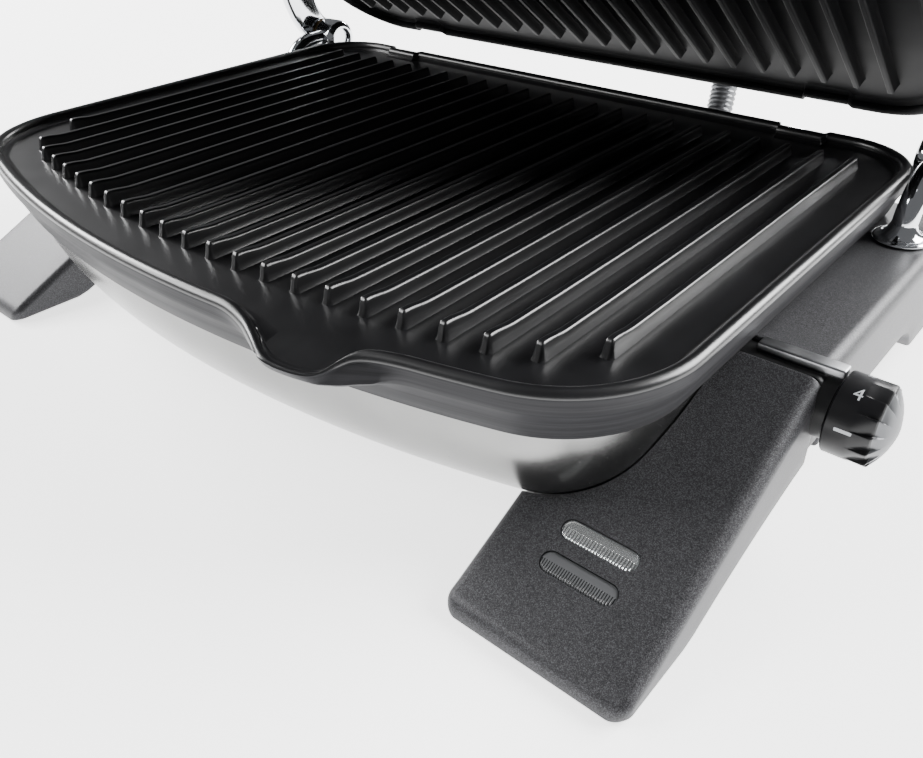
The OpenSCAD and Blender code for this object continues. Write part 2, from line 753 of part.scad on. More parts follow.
// ---------- hinge posts ----------
module boss_axis(x) { translate([x, hinge_y, hinge_z]) rotate([0, 90, 0]) children(); }
module hinge_post() {
  difference() {
    union() {
      translate([stem_x, post_y, rail_top + 0.02]) cylinder(r = flange_radius, h = flange_height);
      translate([stem_x, post_y, rail_top + 1]) cylinder(r1 = stem_radius + 3, r2 = stem_radius + 1, h = 3);
      translate([stem_x, post_y, rail_top + 1.5])
        cylinder(r = stem_radius, h = hinge_z - stem_bend - rail_top - 0.5);
      translate([stem_x, post_y + stem_bend, hinge_z - stem_bend + 1]) rotate([0, -90, 180])
        rotate_extrude(angle = 90) translate([stem_bend, 0]) circle(r = stem_radius);
      translate([stem_x, post_y + stem_bend, hinge_z + 1]) rotate([-90, 0, 0]) cylinder(r = stem_radius, h = 9);
      boss_axis(boss_inner) cylinder(r1 = post_boss_radius - 2.5, r2 = post_boss_radius, h = boss_chamfer);
      boss_axis(boss_inner + boss_chamfer)
        cylinder(r = post_boss_radius, h = boss_outer - boss_inner - boss_chamfer);
    }
    boss_axis(boss_inner - 5) cylinder(r = pin_radius + running, h = 30);
    boss_axis(boss_inner - 1) cylinder(r = 6, h = 3.5);
  }
}
module hinge_post_right() color(chrome) placed() hinge_post();
module hinge_post_left() color(chrome) placed() mirrored_x() hinge_post();
module rear_pin(radius) {
  translate([rail_inner + 1, pin_y, pin_z]) rotate([0, 90, 0]) cylinder(r = radius, h = half - rail_inner - 1);
}
module rear_pins() color(chrome) placed() both_sides() rear_pin(pin_bore - running);

// ---------- handle frame ----------
function bez(p, t) = pow(1 - t, 3) * p[0] + 3 * t * pow(1 - t, 2) * p[1]
  + 3 * t * t * (1 - t) * p[2] + pow(t, 3) * p[3];
function bez_dir(p, t) = let (d = 3 * pow(1 - t, 2) * (p[1] - p[0]) + 6 * t * (1 - t) * (p[2] - p[1])
  + 3 * t * t * (p[3] - p[2])) d / norm(d);
band_steps = 20;
// band along a curve whose width grows from w0 to w1
module band2d(p, w0, w1) {
  polygon(concat(
    [for (i = [0:band_steps]) let (t = i / band_steps, d = bez_dir(p, t))
      bez(p, t) - [-d[1], d[0]] * (w0 + (w1 - w0) * t) / 2],
    [for (i = [band_steps:-1:0]) let (t = i / band_steps, d = bez_dir(p, t))
      bez(p, t) + [-d[1], d[0]] * (w0 + (w1 - w0) * t) / 2]));
}
neck = [[hinge_y, hinge_z], [hinge_y - 30, hinge_z - 6], [pivot_y + 22, pivot_z - 22], [pivot_y, pivot_z]];
reach = [[pivot_y, pivot_z], [pivot_y - 46, pivot_z + 24], [grip_y + 62, grip_z + 26], [grip_y, grip_z]];

module handle_arm() {
  difference() {
    union() {
      across_rail(arm_x, arm_x + arm_thickness) {
        band2d(neck, 15, 27);
        band2d(reach, 27, 17);
        translate([pivot_y, pivot_z]) circle(r = 14.3);
        translate([grip_y, grip_z]) circle(r = 11);
        translate([hinge_y, hinge_z]) circle(r = post_boss_radius);
      }
    }
    translate([arm_x - 1, hinge_y, hinge_z]) rotate([0, 90, 0]) cylinder(r = pin_radius + 0.02, h = 20);
    translate([arm_x - 1, pivot_y, pivot_z]) rotate([0, 90, 0]) cylinder(r = pivot_radius + 0.02, h = 20);
  }
}
module handle_arm_right() color(chrome) frame_pose() handle_arm();
module handle_arm_left() color(chrome) frame_pose() mirrored_x() handle_arm();

module hinge_washers() color("#5d5648") frame_pose() both_sides()
  boss_axis(boss_outer + body_gap / 2) difference() {
    cylinder(r = post_boss_radius - 0.5, h = washer + body_gap / 2 - 0.02);
    translate([0, 0, -1]) cylinder(r = pin_radius + 0.02, h = 5);
  }

module hinge_pins() color(chrome) frame_pose() both_sides() translate([0, hinge_y, hinge_z]) rotate([0, 90, 0]) {
  translate([0, 0, boss_inner + 4]) cylinder(r = pin_radius, h = arm_x + arm_thickness - boss_inner - 3);
  translate([0, 0, arm_x + arm_thickness + 0.02]) cylinder(r = 7.5, h = 2);
}

module lid_pivot_pins() color(chrome) frame_pose() both_sides() translate([0, pivot_y, pivot_z]) rotate([0, 90, 0]) {
  translate([0, 0, boss_inner - 3]) cylinder(r = pivot_radius, h = arm_x + arm_thickness - boss_inner + 4);
  translate([0, 0, arm_x + arm_thickness + 0.02]) cylinder(r = 9, h = 2.4);
}

module lid_pivot_lugs() color(black) lid_pose() both_sides() difference() {
  translate([half - bowl_inset - 14, pivot_y, pivot_z]) rotate([0, 90, 0])
    cylinder(r = lug_radius, h = arm_x - body_gap - half + bowl_inset + 14);
  turned_over() basin(inset(bowl_plan, -0.05), bowl_round + 0.05, bowl_top);
  turned_over() translate([0, 0, -skirt_height - 0.3]) linear_extrude(40) outline2d(inset(plate_plan, -0.3));
  translate([100, pivot_y, pivot_z]) rotate([0, 90, 0]) cylinder(r = pivot_radius + running, h = 100);
}

grip_half = arm_x - 0.05;
ferrule = 16;
module handle_grip() color(black) frame_pose() translate([ferrule - grip_half, grip_y, grip_z]) rotate([0, 90, 0])
  cylinder(r = grip_radius, h = 2 * (grip_half - ferrule));
module grip_ferrules() color(chrome) frame_pose() both_sides()
  translate([grip_half - ferrule + 0.02, grip_y, grip_z]) rotate([0, 90, 0])
    cylinder(r = grip_radius - 0.6, h = ferrule - 0.02);

// ---------- wiring ----------
module terminal_block() color("#e6e2d6") placed() {
  translate([20, -50, bowl_bottom + steel + 0.02]) cube([60, 26, 8]);
  for (i = [0:3]) translate([28 + i * 14, -37, bowl_bottom + steel + 7]) cylinder(r = 4, h = 5, $fn = 32);
}

module gland(x, z, radius, bore, end) {
  difference() {
    union() {
      translate([x, 0, z]) rotate([-90, 0, 0]) cylinder(r = radius - 2, h = end - 3);
      difference() {
        translate([x, 6, z]) rotate([-90, 0, 0]) cylinder(r = radius, h = end - 6);
        basin(inset(bowl_plan, -0.05), bowl_round + 0.05, bowl_top);
      }
    }
    translate([x, -5, z]) rotate([-90, 0, 0]) cylinder(r = bore, h = end + 20);
  }
}
module conduit_gland_base() color(chrome) placed()
  gland(gland_base[0], gland_base[1], 9.2, 5, gland_end);
module conduit_gland_lid() color(chrome) lid_pose() turned_over()
  gland(gland_lid[0], 2 * part_line - gland_lid[1], 9.2, 5, gland_end);
module cord_gland() color(black) placed() gland(-70, gland_base[1], 8.2, 3.6, 24);

// tube along the route, smoothed between its points
function route_point(s) = let (n = len(route) - 1, i = min(floor(s), n - 1), t = s - i,
  a = route[max(i - 1, 0)], b = route[i], c = route[i + 1], d = route[min(i + 2, n)])
  0.5 * (2 * b + (c - a) * t + (2 * a - 5 * b + 4 * c - d) * t * t + (3 * b - a - 3 * c + d) * t * t * t);
rings = 30;
function ring_at(k) = (len(route) - 1) * k / rings;
function along(k) = let (e = 0.02, s = ring_at(k), v = route_point(min(s + e, len(route) - 1))
  - route_point(max(s - e, 0))) v / norm(v);
module conduit() color("#8b8d8f") placed() polyhedron(
  points = [for (k = [0:rings], j = [0:conduit_sides - 1])
    let (d = along(k), u = cross(d, [1, 0, 0]) / norm(cross(d, [1, 0, 0])), w = cross(d, u), a = 360 * j / conduit_sides)
    route_point(ring_at(k)) + conduit_radius * (u * cos(a) + w * sin(a))],
  faces = concat(
    [[for (j = [0:conduit_sides - 1]) j]],
    [for (k = [0:rings - 1], j = [0:conduit_sides - 1]) let (q = (j + 1) % conduit_sides)
      [k * conduit_sides + j, (k + 1) * conduit_sides + j, (k + 1) * conduit_sides + q, k * conduit_sides + q]],
    [[for (j = [conduit_sides - 1:-1:0]) rings * conduit_sides + j]]));

lower_plate();
upper_plate();
base_bowl();
lid_shell();
base_liner();
lid_liner();
lower_element();
upper_element();
plate_hooks_base();
plate_hooks_lid();
front_leg_right();
front_leg_left();
rear_leg_right();
rear_leg_left();
control_collar();
seam_band_left();
pointer_bar();
thermostat();
knob_shaft();
knob();
power_lens();
ready_lens();
lamp_trays();
lamp_tubes();
front_feet();
rear_feet();
hinge_post_right();
hinge_post_left();
rear_pins();
hinge_washers();
hinge_pins();
handle_arm_right();
handle_arm_left();
handle_grip();
grip_ferrules();
lid_pivot_lugs();
lid_pivot_pins();
terminal_block();
conduit();
conduit_gland_base();
conduit_gland_lid();
cord_gland();
leg_screws();
base_screws();
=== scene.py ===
"""Electric contact grill with a hinged ribbed lid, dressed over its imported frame.

All shapes are worked out in the rib frame, in millimetres: X to the right from the middle rib,
Y to the back from the rear rib ends, Z up from the rib tops. Posture turns that into the row frame.
"""

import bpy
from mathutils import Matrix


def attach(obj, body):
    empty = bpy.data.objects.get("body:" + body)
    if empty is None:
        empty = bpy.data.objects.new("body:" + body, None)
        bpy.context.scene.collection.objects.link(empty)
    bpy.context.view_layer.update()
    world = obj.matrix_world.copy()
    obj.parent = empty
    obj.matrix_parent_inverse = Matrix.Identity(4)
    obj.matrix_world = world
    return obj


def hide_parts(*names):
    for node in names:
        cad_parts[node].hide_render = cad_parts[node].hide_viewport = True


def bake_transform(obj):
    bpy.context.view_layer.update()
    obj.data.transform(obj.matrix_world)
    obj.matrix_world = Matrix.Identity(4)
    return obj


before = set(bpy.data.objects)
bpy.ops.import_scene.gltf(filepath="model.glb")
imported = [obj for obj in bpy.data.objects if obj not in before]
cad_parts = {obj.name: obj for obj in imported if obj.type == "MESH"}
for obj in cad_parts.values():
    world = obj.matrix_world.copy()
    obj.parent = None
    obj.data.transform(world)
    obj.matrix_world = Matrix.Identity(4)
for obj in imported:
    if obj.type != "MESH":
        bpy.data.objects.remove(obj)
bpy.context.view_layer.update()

import logging
import math
from dataclasses import dataclass, field
from enum import Enum
from typing import Callable, Optional, Sequence, Union

import bmesh
import bpy
from mathutils import Matrix, Vector

LOG = logging.getLogger("grill")
Point2 = tuple[float, float]
Point3 = tuple[float, float, float]
Outline = list[Point2]
Profile = tuple[Point2, ...]
Ring = list[Point3]
Tree = bpy.types.NodeTree
Socket = bpy.types.NodeSocket
SIDES = (("right", False), ("left", True))


# ---------------- posture
@dataclass(frozen=True)
class Posture:
    """Where the rib frame lies in the row frame, and how far the lid is open."""

    mid_x: float = 10.54
    mid_y: float = -77.92
    level: float = 72.0
    hinge: Point2 = (16.0, 0.0)
    pivot: Point2 = (-54.0, 39.0)
    swing_deg: float = 51.0
    lid_deg: float = 35.0
    parting: float = 0.7

    def base(self) -> Matrix:
        """Returns the matrix from rib-frame millimetres to row-frame metres."""
        return Matrix.Scale(0.001, 4) @ Matrix.Translation((-self.mid_x, -self.mid_y, self.level))

    def handle(self) -> Matrix:
        """Returns the matrix for parts drawn closed that swing with the handle frame."""
        y, z = self.hinge
        turn = Matrix.Rotation(math.radians(-self.swing_deg), 4, "X")
        return self.base() @ Matrix.Translation((0, y, z)) @ turn @ Matrix.Translation((0, -y, -z))

    def lid(self) -> Matrix:
        """Returns the matrix for lid parts drawn closed."""
        y, z = self.pivot
        open_pivot = self.base().inverted() @ self.handle() @ Vector((0, y, z))
        turn = Matrix.Rotation(math.radians(-self.lid_deg), 4, "X")
        return self.base() @ Matrix.Translation(open_pivot) @ turn @ Matrix.Translation((0, -y, -z))


POSTURE = Posture()


class Body(Enum):
    """The frame's moving bodies."""

    BASE = "base"
    HANDLE = "handle_frame"
    LID = "lid"
    KNOB = "knob"

    def matrix(self) -> Matrix:
        """Returns the matrix from the rib frame to the row frame for this body at rest."""
        if self is Body.HANDLE:
            return POSTURE.handle()
        if self is Body.LID:
            return POSTURE.lid()
        return POSTURE.base()


# ---------------- colour and node helpers
def srgb(code: str) -> tuple[float, float, float, float]:
    """Turns a hex colour into linear values.

    Args:
        code: Colour such as "#2b2c2e".

    Returns:
        Linear red, green and blue, and an alpha of 1.
    """
    parts = [int(code[i : i + 2], 16) / 255 for i in (1, 3, 5)]
    red, green, blue = (c / 12.92 if c <= 0.04045 else ((c + 0.055) / 1.055) ** 2.4 for c in parts)
    return (red, green, blue, 1.0)


def add_node(tree: Tree, kind: str, inputs: Optional[dict] = None, **settings: object) -> bpy.types.Node:
    """Adds a node with its settings, values and links.

    Args:
        tree: Tree that takes the node.
        kind: Node type name.
        inputs: Input name or number to a value, or to the socket or Field that feeds it.
        **settings: Node properties.

    Returns:
        The new node.
    """
    node = tree.nodes.new(kind)
    for name, value in settings.items():
        setattr(node, name, value)
    for key, value in (inputs or {}).items():
        source = value.socket if isinstance(value, Field) else value
        if isinstance(source, Socket):
            tree.links.new(source, node.inputs[key])
        else:
            node.inputs[key].default_value = source
    return node


class Field:
    """A number in a node tree that can be written like arithmetic."""

    def __init__(self, tree: Tree, socket: Socket) -> None:
        """Keeps the tree and the socket that gives the number."""
        self.tree = tree
        self.socket = socket

    def step(self, operation: str, *others: "Number") -> "Field":
        """Does one sum on this number.

        Args:
            operation: The sum's name among the maths node's operations.
            *others: The other numbers in it.

        Returns:
            The result.
        """
        numbers = dict(enumerate((self, *others)))
        node = add_node(self.tree, "ShaderNodeMath", numbers, operation=operation)
        return Field(self.tree, node.outputs[0])

    def __add__(self, other: "Number") -> "Field":
        """Returns the sum."""
        return self.step("ADD", other)

    def __sub__(self, other: "Number") -> "Field":
        """Returns this less the other."""
        return self.step("SUBTRACT", other)

    def __rsub__(self, other: float) -> "Field":
        """Returns the other less this."""
        return self.step("MULTIPLY", -1.0) + other

    def __mul__(self, other: "Number") -> "Field":
        """Returns the product."""
        return self.step("MULTIPLY", other)

    def __truediv__(self, other: "Number") -> "Field":
        """Returns the quotient."""
        return self.step("DIVIDE", other)

    __radd__ = __add__
    __rmul__ = __mul__

    def above(self, other: "Number") -> "Field":
        """Returns 1 where this is greater than other, else 0."""
        return self.step("GREATER_THAN", other)

    def at_least(self, other: "Number") -> "Field":
        """Returns the larger of the two."""
        return self.step("MAXIMUM", other)

    def at_most(self, other: "Number") -> "Field":
        """Returns the smaller of the two."""
        return self.step("MINIMUM", other)

    def between(self, low: float, high: float) -> "Field":
        """Returns this held between two values."""
        return self.at_least(low).at_most(high)

    def root(self) -> "Field":
        """Returns the square root, with negatives held at nought."""
        return self.at_least(0.0).step("SQRT")

    def size(self) -> "Field":
        """Returns the absolute value."""
        return self.step("ABSOLUTE")

    def sine(self) -> "Field":
        """Returns the sine of this in radians."""
        return self.step("SINE")

    def ease(self) -> "Field":
        """Returns a smooth step from 0 to 1 as this goes from 0 to 1."""
        t = self.between(0.0, 1.0)
        return t * t * (3.0 - 2.0 * t)


Number = Union[Field, float]
Patterns = tuple[Field, Field, Optional[Field]]


# ---------------- finishes
@dataclass(frozen=True)
class Grain:
    """Noise over a surface: the width of a patch, its detail and how much finer it is along each axis."""

    size_mm: float
    detail: float = 2.0
    finer: Point3 = (1.0, 1.0, 1.0)

    def over(self, tree: Tree, place: Socket) -> Field:
        """Lays the noise over a piece.

        Args:
            tree: The material's tree.
            place: Object coordinates, in metres.

        Returns:
            Its value, 0 to 1.
        """
        mapped = add_node(tree, "ShaderNodeMapping", {"Vector": place, "Scale": self.finer})
        inputs = {"Vector": mapped.outputs[0], "Scale": 1000.0 / self.size_mm, "Detail": self.detail}
        return Field(tree, add_node(tree, "ShaderNodeTexNoise", inputs).outputs["Fac"])


@dataclass(frozen=True)
class Finish:
    """A surface finish: name, slot, the tones and the roughness that patterns move between, and relief."""

    name: str
    slot: str
    dark: str
    light: str
    roughness: Point2
    relief_mm: float = 0.0
    relief: float = 0.0
    mottle: Grain = Grain(11.0, 3.0)
    grain: Optional[Grain] = None

    def patterns(self, tree: Tree, place: Socket) -> Patterns:
        """Lays the finish's patterns: mottling for tone and roughness, and the grain for relief.

        Args:
            tree: The material's tree.
            place: Object coordinates, in metres.

        Returns:
            What moves the tone, the roughness and, where there is any, the relief.
        """
        mottle = self.mottle.over(tree, place)
        return mottle, mottle, self.grain.over(tree, place) if self.grain else None

    def fixed(self) -> dict[str, object]:
        """Returns the shader values that are the same all over."""
        return {}

    def material(self) -> bpy.types.Material:
        """Returns the material, made once."""
        found = bpy.data.materials.get(self.name)
        if found:
            return found
        made = bpy.data.materials.new(self.name)
        made.use_nodes = True
        made.node_tree.nodes.clear()
        shader = add_node(made.node_tree, "ShaderNodeBsdfPrincipled", self.surface(made.node_tree))
        add_node(made.node_tree, "ShaderNodeOutputMaterial", {"Surface": shader.outputs[0]})
        return made

    def surface(self, tree: Tree) -> dict[str, object]:
        """Works out everything that goes into the shader.

        Args:
            tree: The material's tree.

        Returns:
            Shader input names to values, or to the sockets that feed them.
        """
        place = add_node(tree, "ShaderNodeTexCoord").outputs["Object"]
        tone, haze, height = self.patterns(tree, place)
        colour = add_node(tree, "ShaderNodeMix", {0: tone, 6: srgb(self.dark), 7: srgb(self.light)},
                          data_type="RGBA")
        smooth, rough = self.roughness
        values = {"Base Color": colour.outputs[2], "Roughness": haze * (rough - smooth) + smooth}
        if height is not None:
            raised = {"Height": height, "Distance": self.relief_mm / 1000, "Strength": self.relief}
            values["Normal"] = add_node(tree, "ShaderNodeBump", raised).outputs["Normal"]
        return {**values, **self.fixed()}


@dataclass(frozen=True)
class CoatedCasting(Finish):
    """Die-cast aluminium under a sprayed non-stick coat: fine orange peel, faint mottling, soft gloss."""

    relief_mm: float = 0.03
    relief: float = 0.35
    mottle: Grain = Grain(14.0, 3.0)
    grain: Optional[Grain] = Grain(0.35)
    gloss: float = 0.6
    coat: float = 0.12

    def fixed(self) -> dict[str, object]:
        """Returns the gloss of the coat."""
        return {"Specular IOR Level": self.gloss, "Coat Weight": self.coat, "Coat Roughness": 0.22}


@dataclass(frozen=True)
class BrushedSkirt(Finish):
    """Coated casting rubbed along its edge: dark, matt, streaked level with the rim."""

    relief_mm: float = 0.02
    relief: float = 0.3
    mottle: Grain = Grain(22.0)
    grain: Optional[Grain] = Grain(60.0, 3.0, (1.0, 1.0, 90.0))

    def patterns(self, tree: Tree, place: Socket) -> Patterns:
        """Lays the streaks in tone and relief, the mottling in roughness; see Finish.patterns."""
        streak = self.grain.over(tree, place)
        return streak, self.mottle.over(tree, place), streak

    def fixed(self) -> dict[str, object]:
        """Returns the matt skin's reflection."""
        return {"Specular IOR Level": 0.06, "Metallic": 0.03}


@dataclass(frozen=True)
class SatinSteel(Finish):
    """Pressed stainless steel with a level satin brush, drawn coarse so that it shows."""

    relief_mm: float = 0.01
    relief: float = 0.15
    mottle: Grain = Grain(30.0)
    grain: Optional[Grain] = Grain(40.0, 3.0, (1.0, 70.0, 70.0))

    def patterns(self, tree: Tree, place: Socket) -> Patterns:
        """Lays the mottling in tone, the brush marks in roughness and relief; see Finish.patterns."""
        brush = self.grain.over(tree, place)
        return self.mottle.over(tree, place), brush, brush

    def fixed(self) -> dict[str, object]:
        """Returns that it is all metal."""
        return {"Metallic": 1.0}


@dataclass(frozen=True)
class FlakePlastic(Finish):
    """Moulded grey plastic with a soft satin skin; its metallic flake is drawn coarse so that it shows."""

    relief_mm: float = 0.015
    relief: float = 0.35
    mottle: Grain = Grain(0.6, 3.0)
    flake_mm: float = 0.2
    flake_share: float = 0.7

    def patterns(self, tree: Tree, place: Socket) -> Patterns:
        """Lays the flakes over a fine cloud; see Finish.patterns."""
        cells = add_node(tree, "ShaderNodeTexVoronoi", {"Vector": place, "Scale": 1000.0 / self.flake_mm})
        split = add_node(tree, "ShaderNodeSeparateColor", {"Color": cells.outputs["Color"]})
        flake = Field(tree, split.outputs[0])
        bright = flake.step("POWER", 2.0) * self.flake_share
        return bright + self.mottle.over(tree, place) * (1 - self.flake_share), flake, flake

    def fixed(self) -> dict[str, object]:
        """Returns the part of it that is flake."""
        return {"Metallic": 0.32, "Specular IOR Level": 0.25}


@dataclass(frozen=True)
class Moulded(Finish):
    """Plain moulded plastic, rubber or ceramic with a faint spark-eroded grain."""

    relief_mm: float = 0.02
    relief: float = 0.15
    mottle: Grain = Grain(9.0)
    grain: Optional[Grain] = Grain(0.4)
    gloss: float = 0.4

    def fixed(self) -> dict[str, object]:
        """Returns the skin's gloss."""
        return {"Specular IOR Level": self.gloss}


@dataclass(frozen=True)
class Plated(Finish):
    """Polished or dulled metal with faint haze; sprayed cap and glass where it is less metallic."""

    metallic: float = 1.0

    def fixed(self) -> dict[str, object]:
        """Returns how metallic it is."""
        return {"Metallic": self.metallic}


@dataclass(frozen=True)
class PrismLens(Finish):
    """Moulded acrylic lamp lens, clear or smoked, with fine prisms across its front half, drawn as relief
    and as painted light and dark stripes in the tone.
    """

    relief_mm: float = 0.18
    relief: float = 0.7
    mottle: Grain = Grain(3.0)
    transmission: float = 0.55
    metallic: float = 0.0
    prism_mm: float = 0.95
    middle_y: float = 0.0
    plain_tone: float = 0.8

    def patterns(self, tree: Tree, place: Socket) -> Patterns:
        """Lays the prisms along X, in front of the lens's middle, as relief and as painted highlight and
        shade stripes in the tone; see Finish.patterns.
        """
        parts = add_node(tree, "ShaderNodeSeparateXYZ", {0: place})
        along, back = (Field(tree, parts.outputs[i]) for i in (0, 1))
        wave = (along * (2000 * math.pi / self.prism_mm)).sine() * 0.5 + 0.5
        plain = back.above(self.middle_y / 1000)
        # The prism wave drives the tone as well as the relief: painted light and dark stripes.
        prism_relief_and_painted_sheen = wave * (1.0 - plain) + plain * self.plain_tone
        return prism_relief_and_painted_sheen, self.mottle.over(tree, place), prism_relief_and_painted_sheen

    def fixed(self) -> dict[str, object]:
        """Returns how much light the acrylic lets through, and its IOR."""
        return {"Transmission Weight": self.transmission, "Metallic": self.metallic, "IOR": 1.49}


@dataclass(frozen=True)
class PaleFloor(Finish):
    """Plain pale floor, evenly lit from behind."""

    glow: float = 2.3

    def surface(self, tree: Tree) -> dict[str, object]:
        """Returns one plain tone that also glows; see Finish.surface."""
        tone = srgb(self.light)
        return {"Base Color": tone, "Emission Color": tone, "Emission Strength": self.glow,
                "Roughness": self.roughness[1], "Specular IOR Level": 0.1}


@dataclass(frozen=True)
class Finishes:
    """Every finish on the grill, named for its material and how its surface was made; the lid's casting
    copy is darker and duller as painted shade.
    """

    casting: Finish = CoatedCasting("cast_nonstick_sprayed", "cast_coating", "#0c0c0d", "#131315",
                                    (0.27, 0.36))
    # The lid plate's copy of the coating: darker tones and almost no gloss, painted shade on the lid's
    # inner face; the coating is the same as below.
    casting_lid_painted_shade: Finish = CoatedCasting("cast_nonstick_painted_shade_lid", "cast_coating", "#070708", "#0c0c0d",
                                        (0.42, 0.52), gloss=0.03, coat=0.0)
    skirt: Finish = BrushedSkirt("cast_skirt_brushed", "cast_coating", "#1b1b1c", "#3e3e40", (0.38, 0.5))
    steel: Finish = SatinSteel("stainless_satin_pressed", "satin_steel", "#767675", "#929291", (0.2, 0.3))
    rail: Finish = FlakePlastic("plastic_flake_moulded", "rail_plastic", "#1a1a1b", "#5d5d60", (0.34, 0.5))
    black: Finish = Moulded("phenolic_black_satin", "black_plastic", "#0b0b0c", "#111112", (0.34, 0.46))
    knob: Finish = Moulded("phenolic_knob_satin", "black_plastic", "#0c0c0e", "#131315", (0.3, 0.4),
                           gloss=0.3)
    dome: Finish = Plated("knob_cap_satin_sprayed", "black_plastic", "#565759", "#626365", (0.34, 0.44),
                          metallic=0.85)
    mark: Finish = Moulded("ink_light_grey_printed", "black_plastic", "#b9bcc0", "#c6c9cc", (0.4, 0.5))
    chrome: Finish = Plated("chrome_polished_plated", "chrome", "#c6c8cb", "#d9dbde", (0.05, 0.12))
    pointer: Finish = Plated("pointer_satin_rolled", "satin_steel", "#8f9092", "#a2a3a5", (0.28, 0.36))
    sheet: Finish = Plated("sheet_galvanised", "sheet_steel", "#83868a", "#9a9da0", (0.35, 0.5))
    element: Finish = Plated("element_tube_heat_darkened", "element_sheath", "#463f39", "#5d5750",
                             (0.4, 0.55), metallic=0.8)
    bronze: Finish = Plated("washer_bronze_dull", "bronze", "#57462d", "#6f5b3e", (0.35, 0.5))
    conduit: Finish = Plated("conduit_steel_strip_wound", "conduit_steel", "#525355", "#6b6c6e",
                             (0.3, 0.42))
    rubber: Finish = Moulded("rubber_foot_moulded", "rubber", "#0e0e0f", "#141415", (0.7, 0.85))
    ceramic: Finish = Moulded("ceramic_glazed", "ceramic", "#ded9cb", "#e8e4d8", (0.15, 0.25))
    lens: Finish = PrismLens("lens_clear_moulded", "lens_clear", "#8c8f90", "#e9ecec", (0.08, 0.14),
                             metallic=0.6, middle_y=-111.0)
    smoked: Finish = PrismLens("lens_smoked_moulded", "lens_smoke", "#262728", "#6d6e70", (0.14, 0.2),
                               transmission=0.25, prism_mm=0.8, middle_y=-120.8)
    neon: Finish = Plated("neon_tube_glass", "neon", "#a5948a", "#b9a79c", (0.1, 0.2), metallic=0.0)
    floor: Finish = PaleFloor("studio_floor_pale", "", "#f6f6f6", "#f6f6f6", (0.9, 0.9))


FINISHES = Finishes()


# ---------------- mesh building
WELD_M = 2e-6
SLIVER_M = 1e-7


def linked(name: str, data: bpy.types.ID) -> bpy.types.Object:
    """Makes an object for a mesh, curve, light or camera and puts it in the scene.

    Args:
        name: Object name.
        data: What it shows.

    Returns:
        The new object.
    """
    made = bpy.data.objects.new(name, data)
    bpy.context.collection.objects.link(made)
    return made


def evaluated_mesh(holder: bpy.types.Object) -> bpy.types.Mesh:
    """Works out an object's modifiers or curve.

    Args:
        holder: The object.

    Returns:
        The result, as a plain mesh.
    """
    bpy.context.view_layer.update()
    graph = bpy.context.evaluated_depsgraph_get()
    return bpy.data.meshes.new_from_object(holder.evaluated_get(graph), depsgraph=graph)


class Axis(Enum):
    """The line that a turned shape is turned about."""

    X = "x"
    Y = "y"
    Z = "z"

    def local(self, along: float, p: float, q: float) -> Point3:
        """Returns the point that lies along the axis and p and q across it."""
        return {Axis.X: (along, p, q), Axis.Y: (q, along, p), Axis.Z: (p, q, along)}[self]


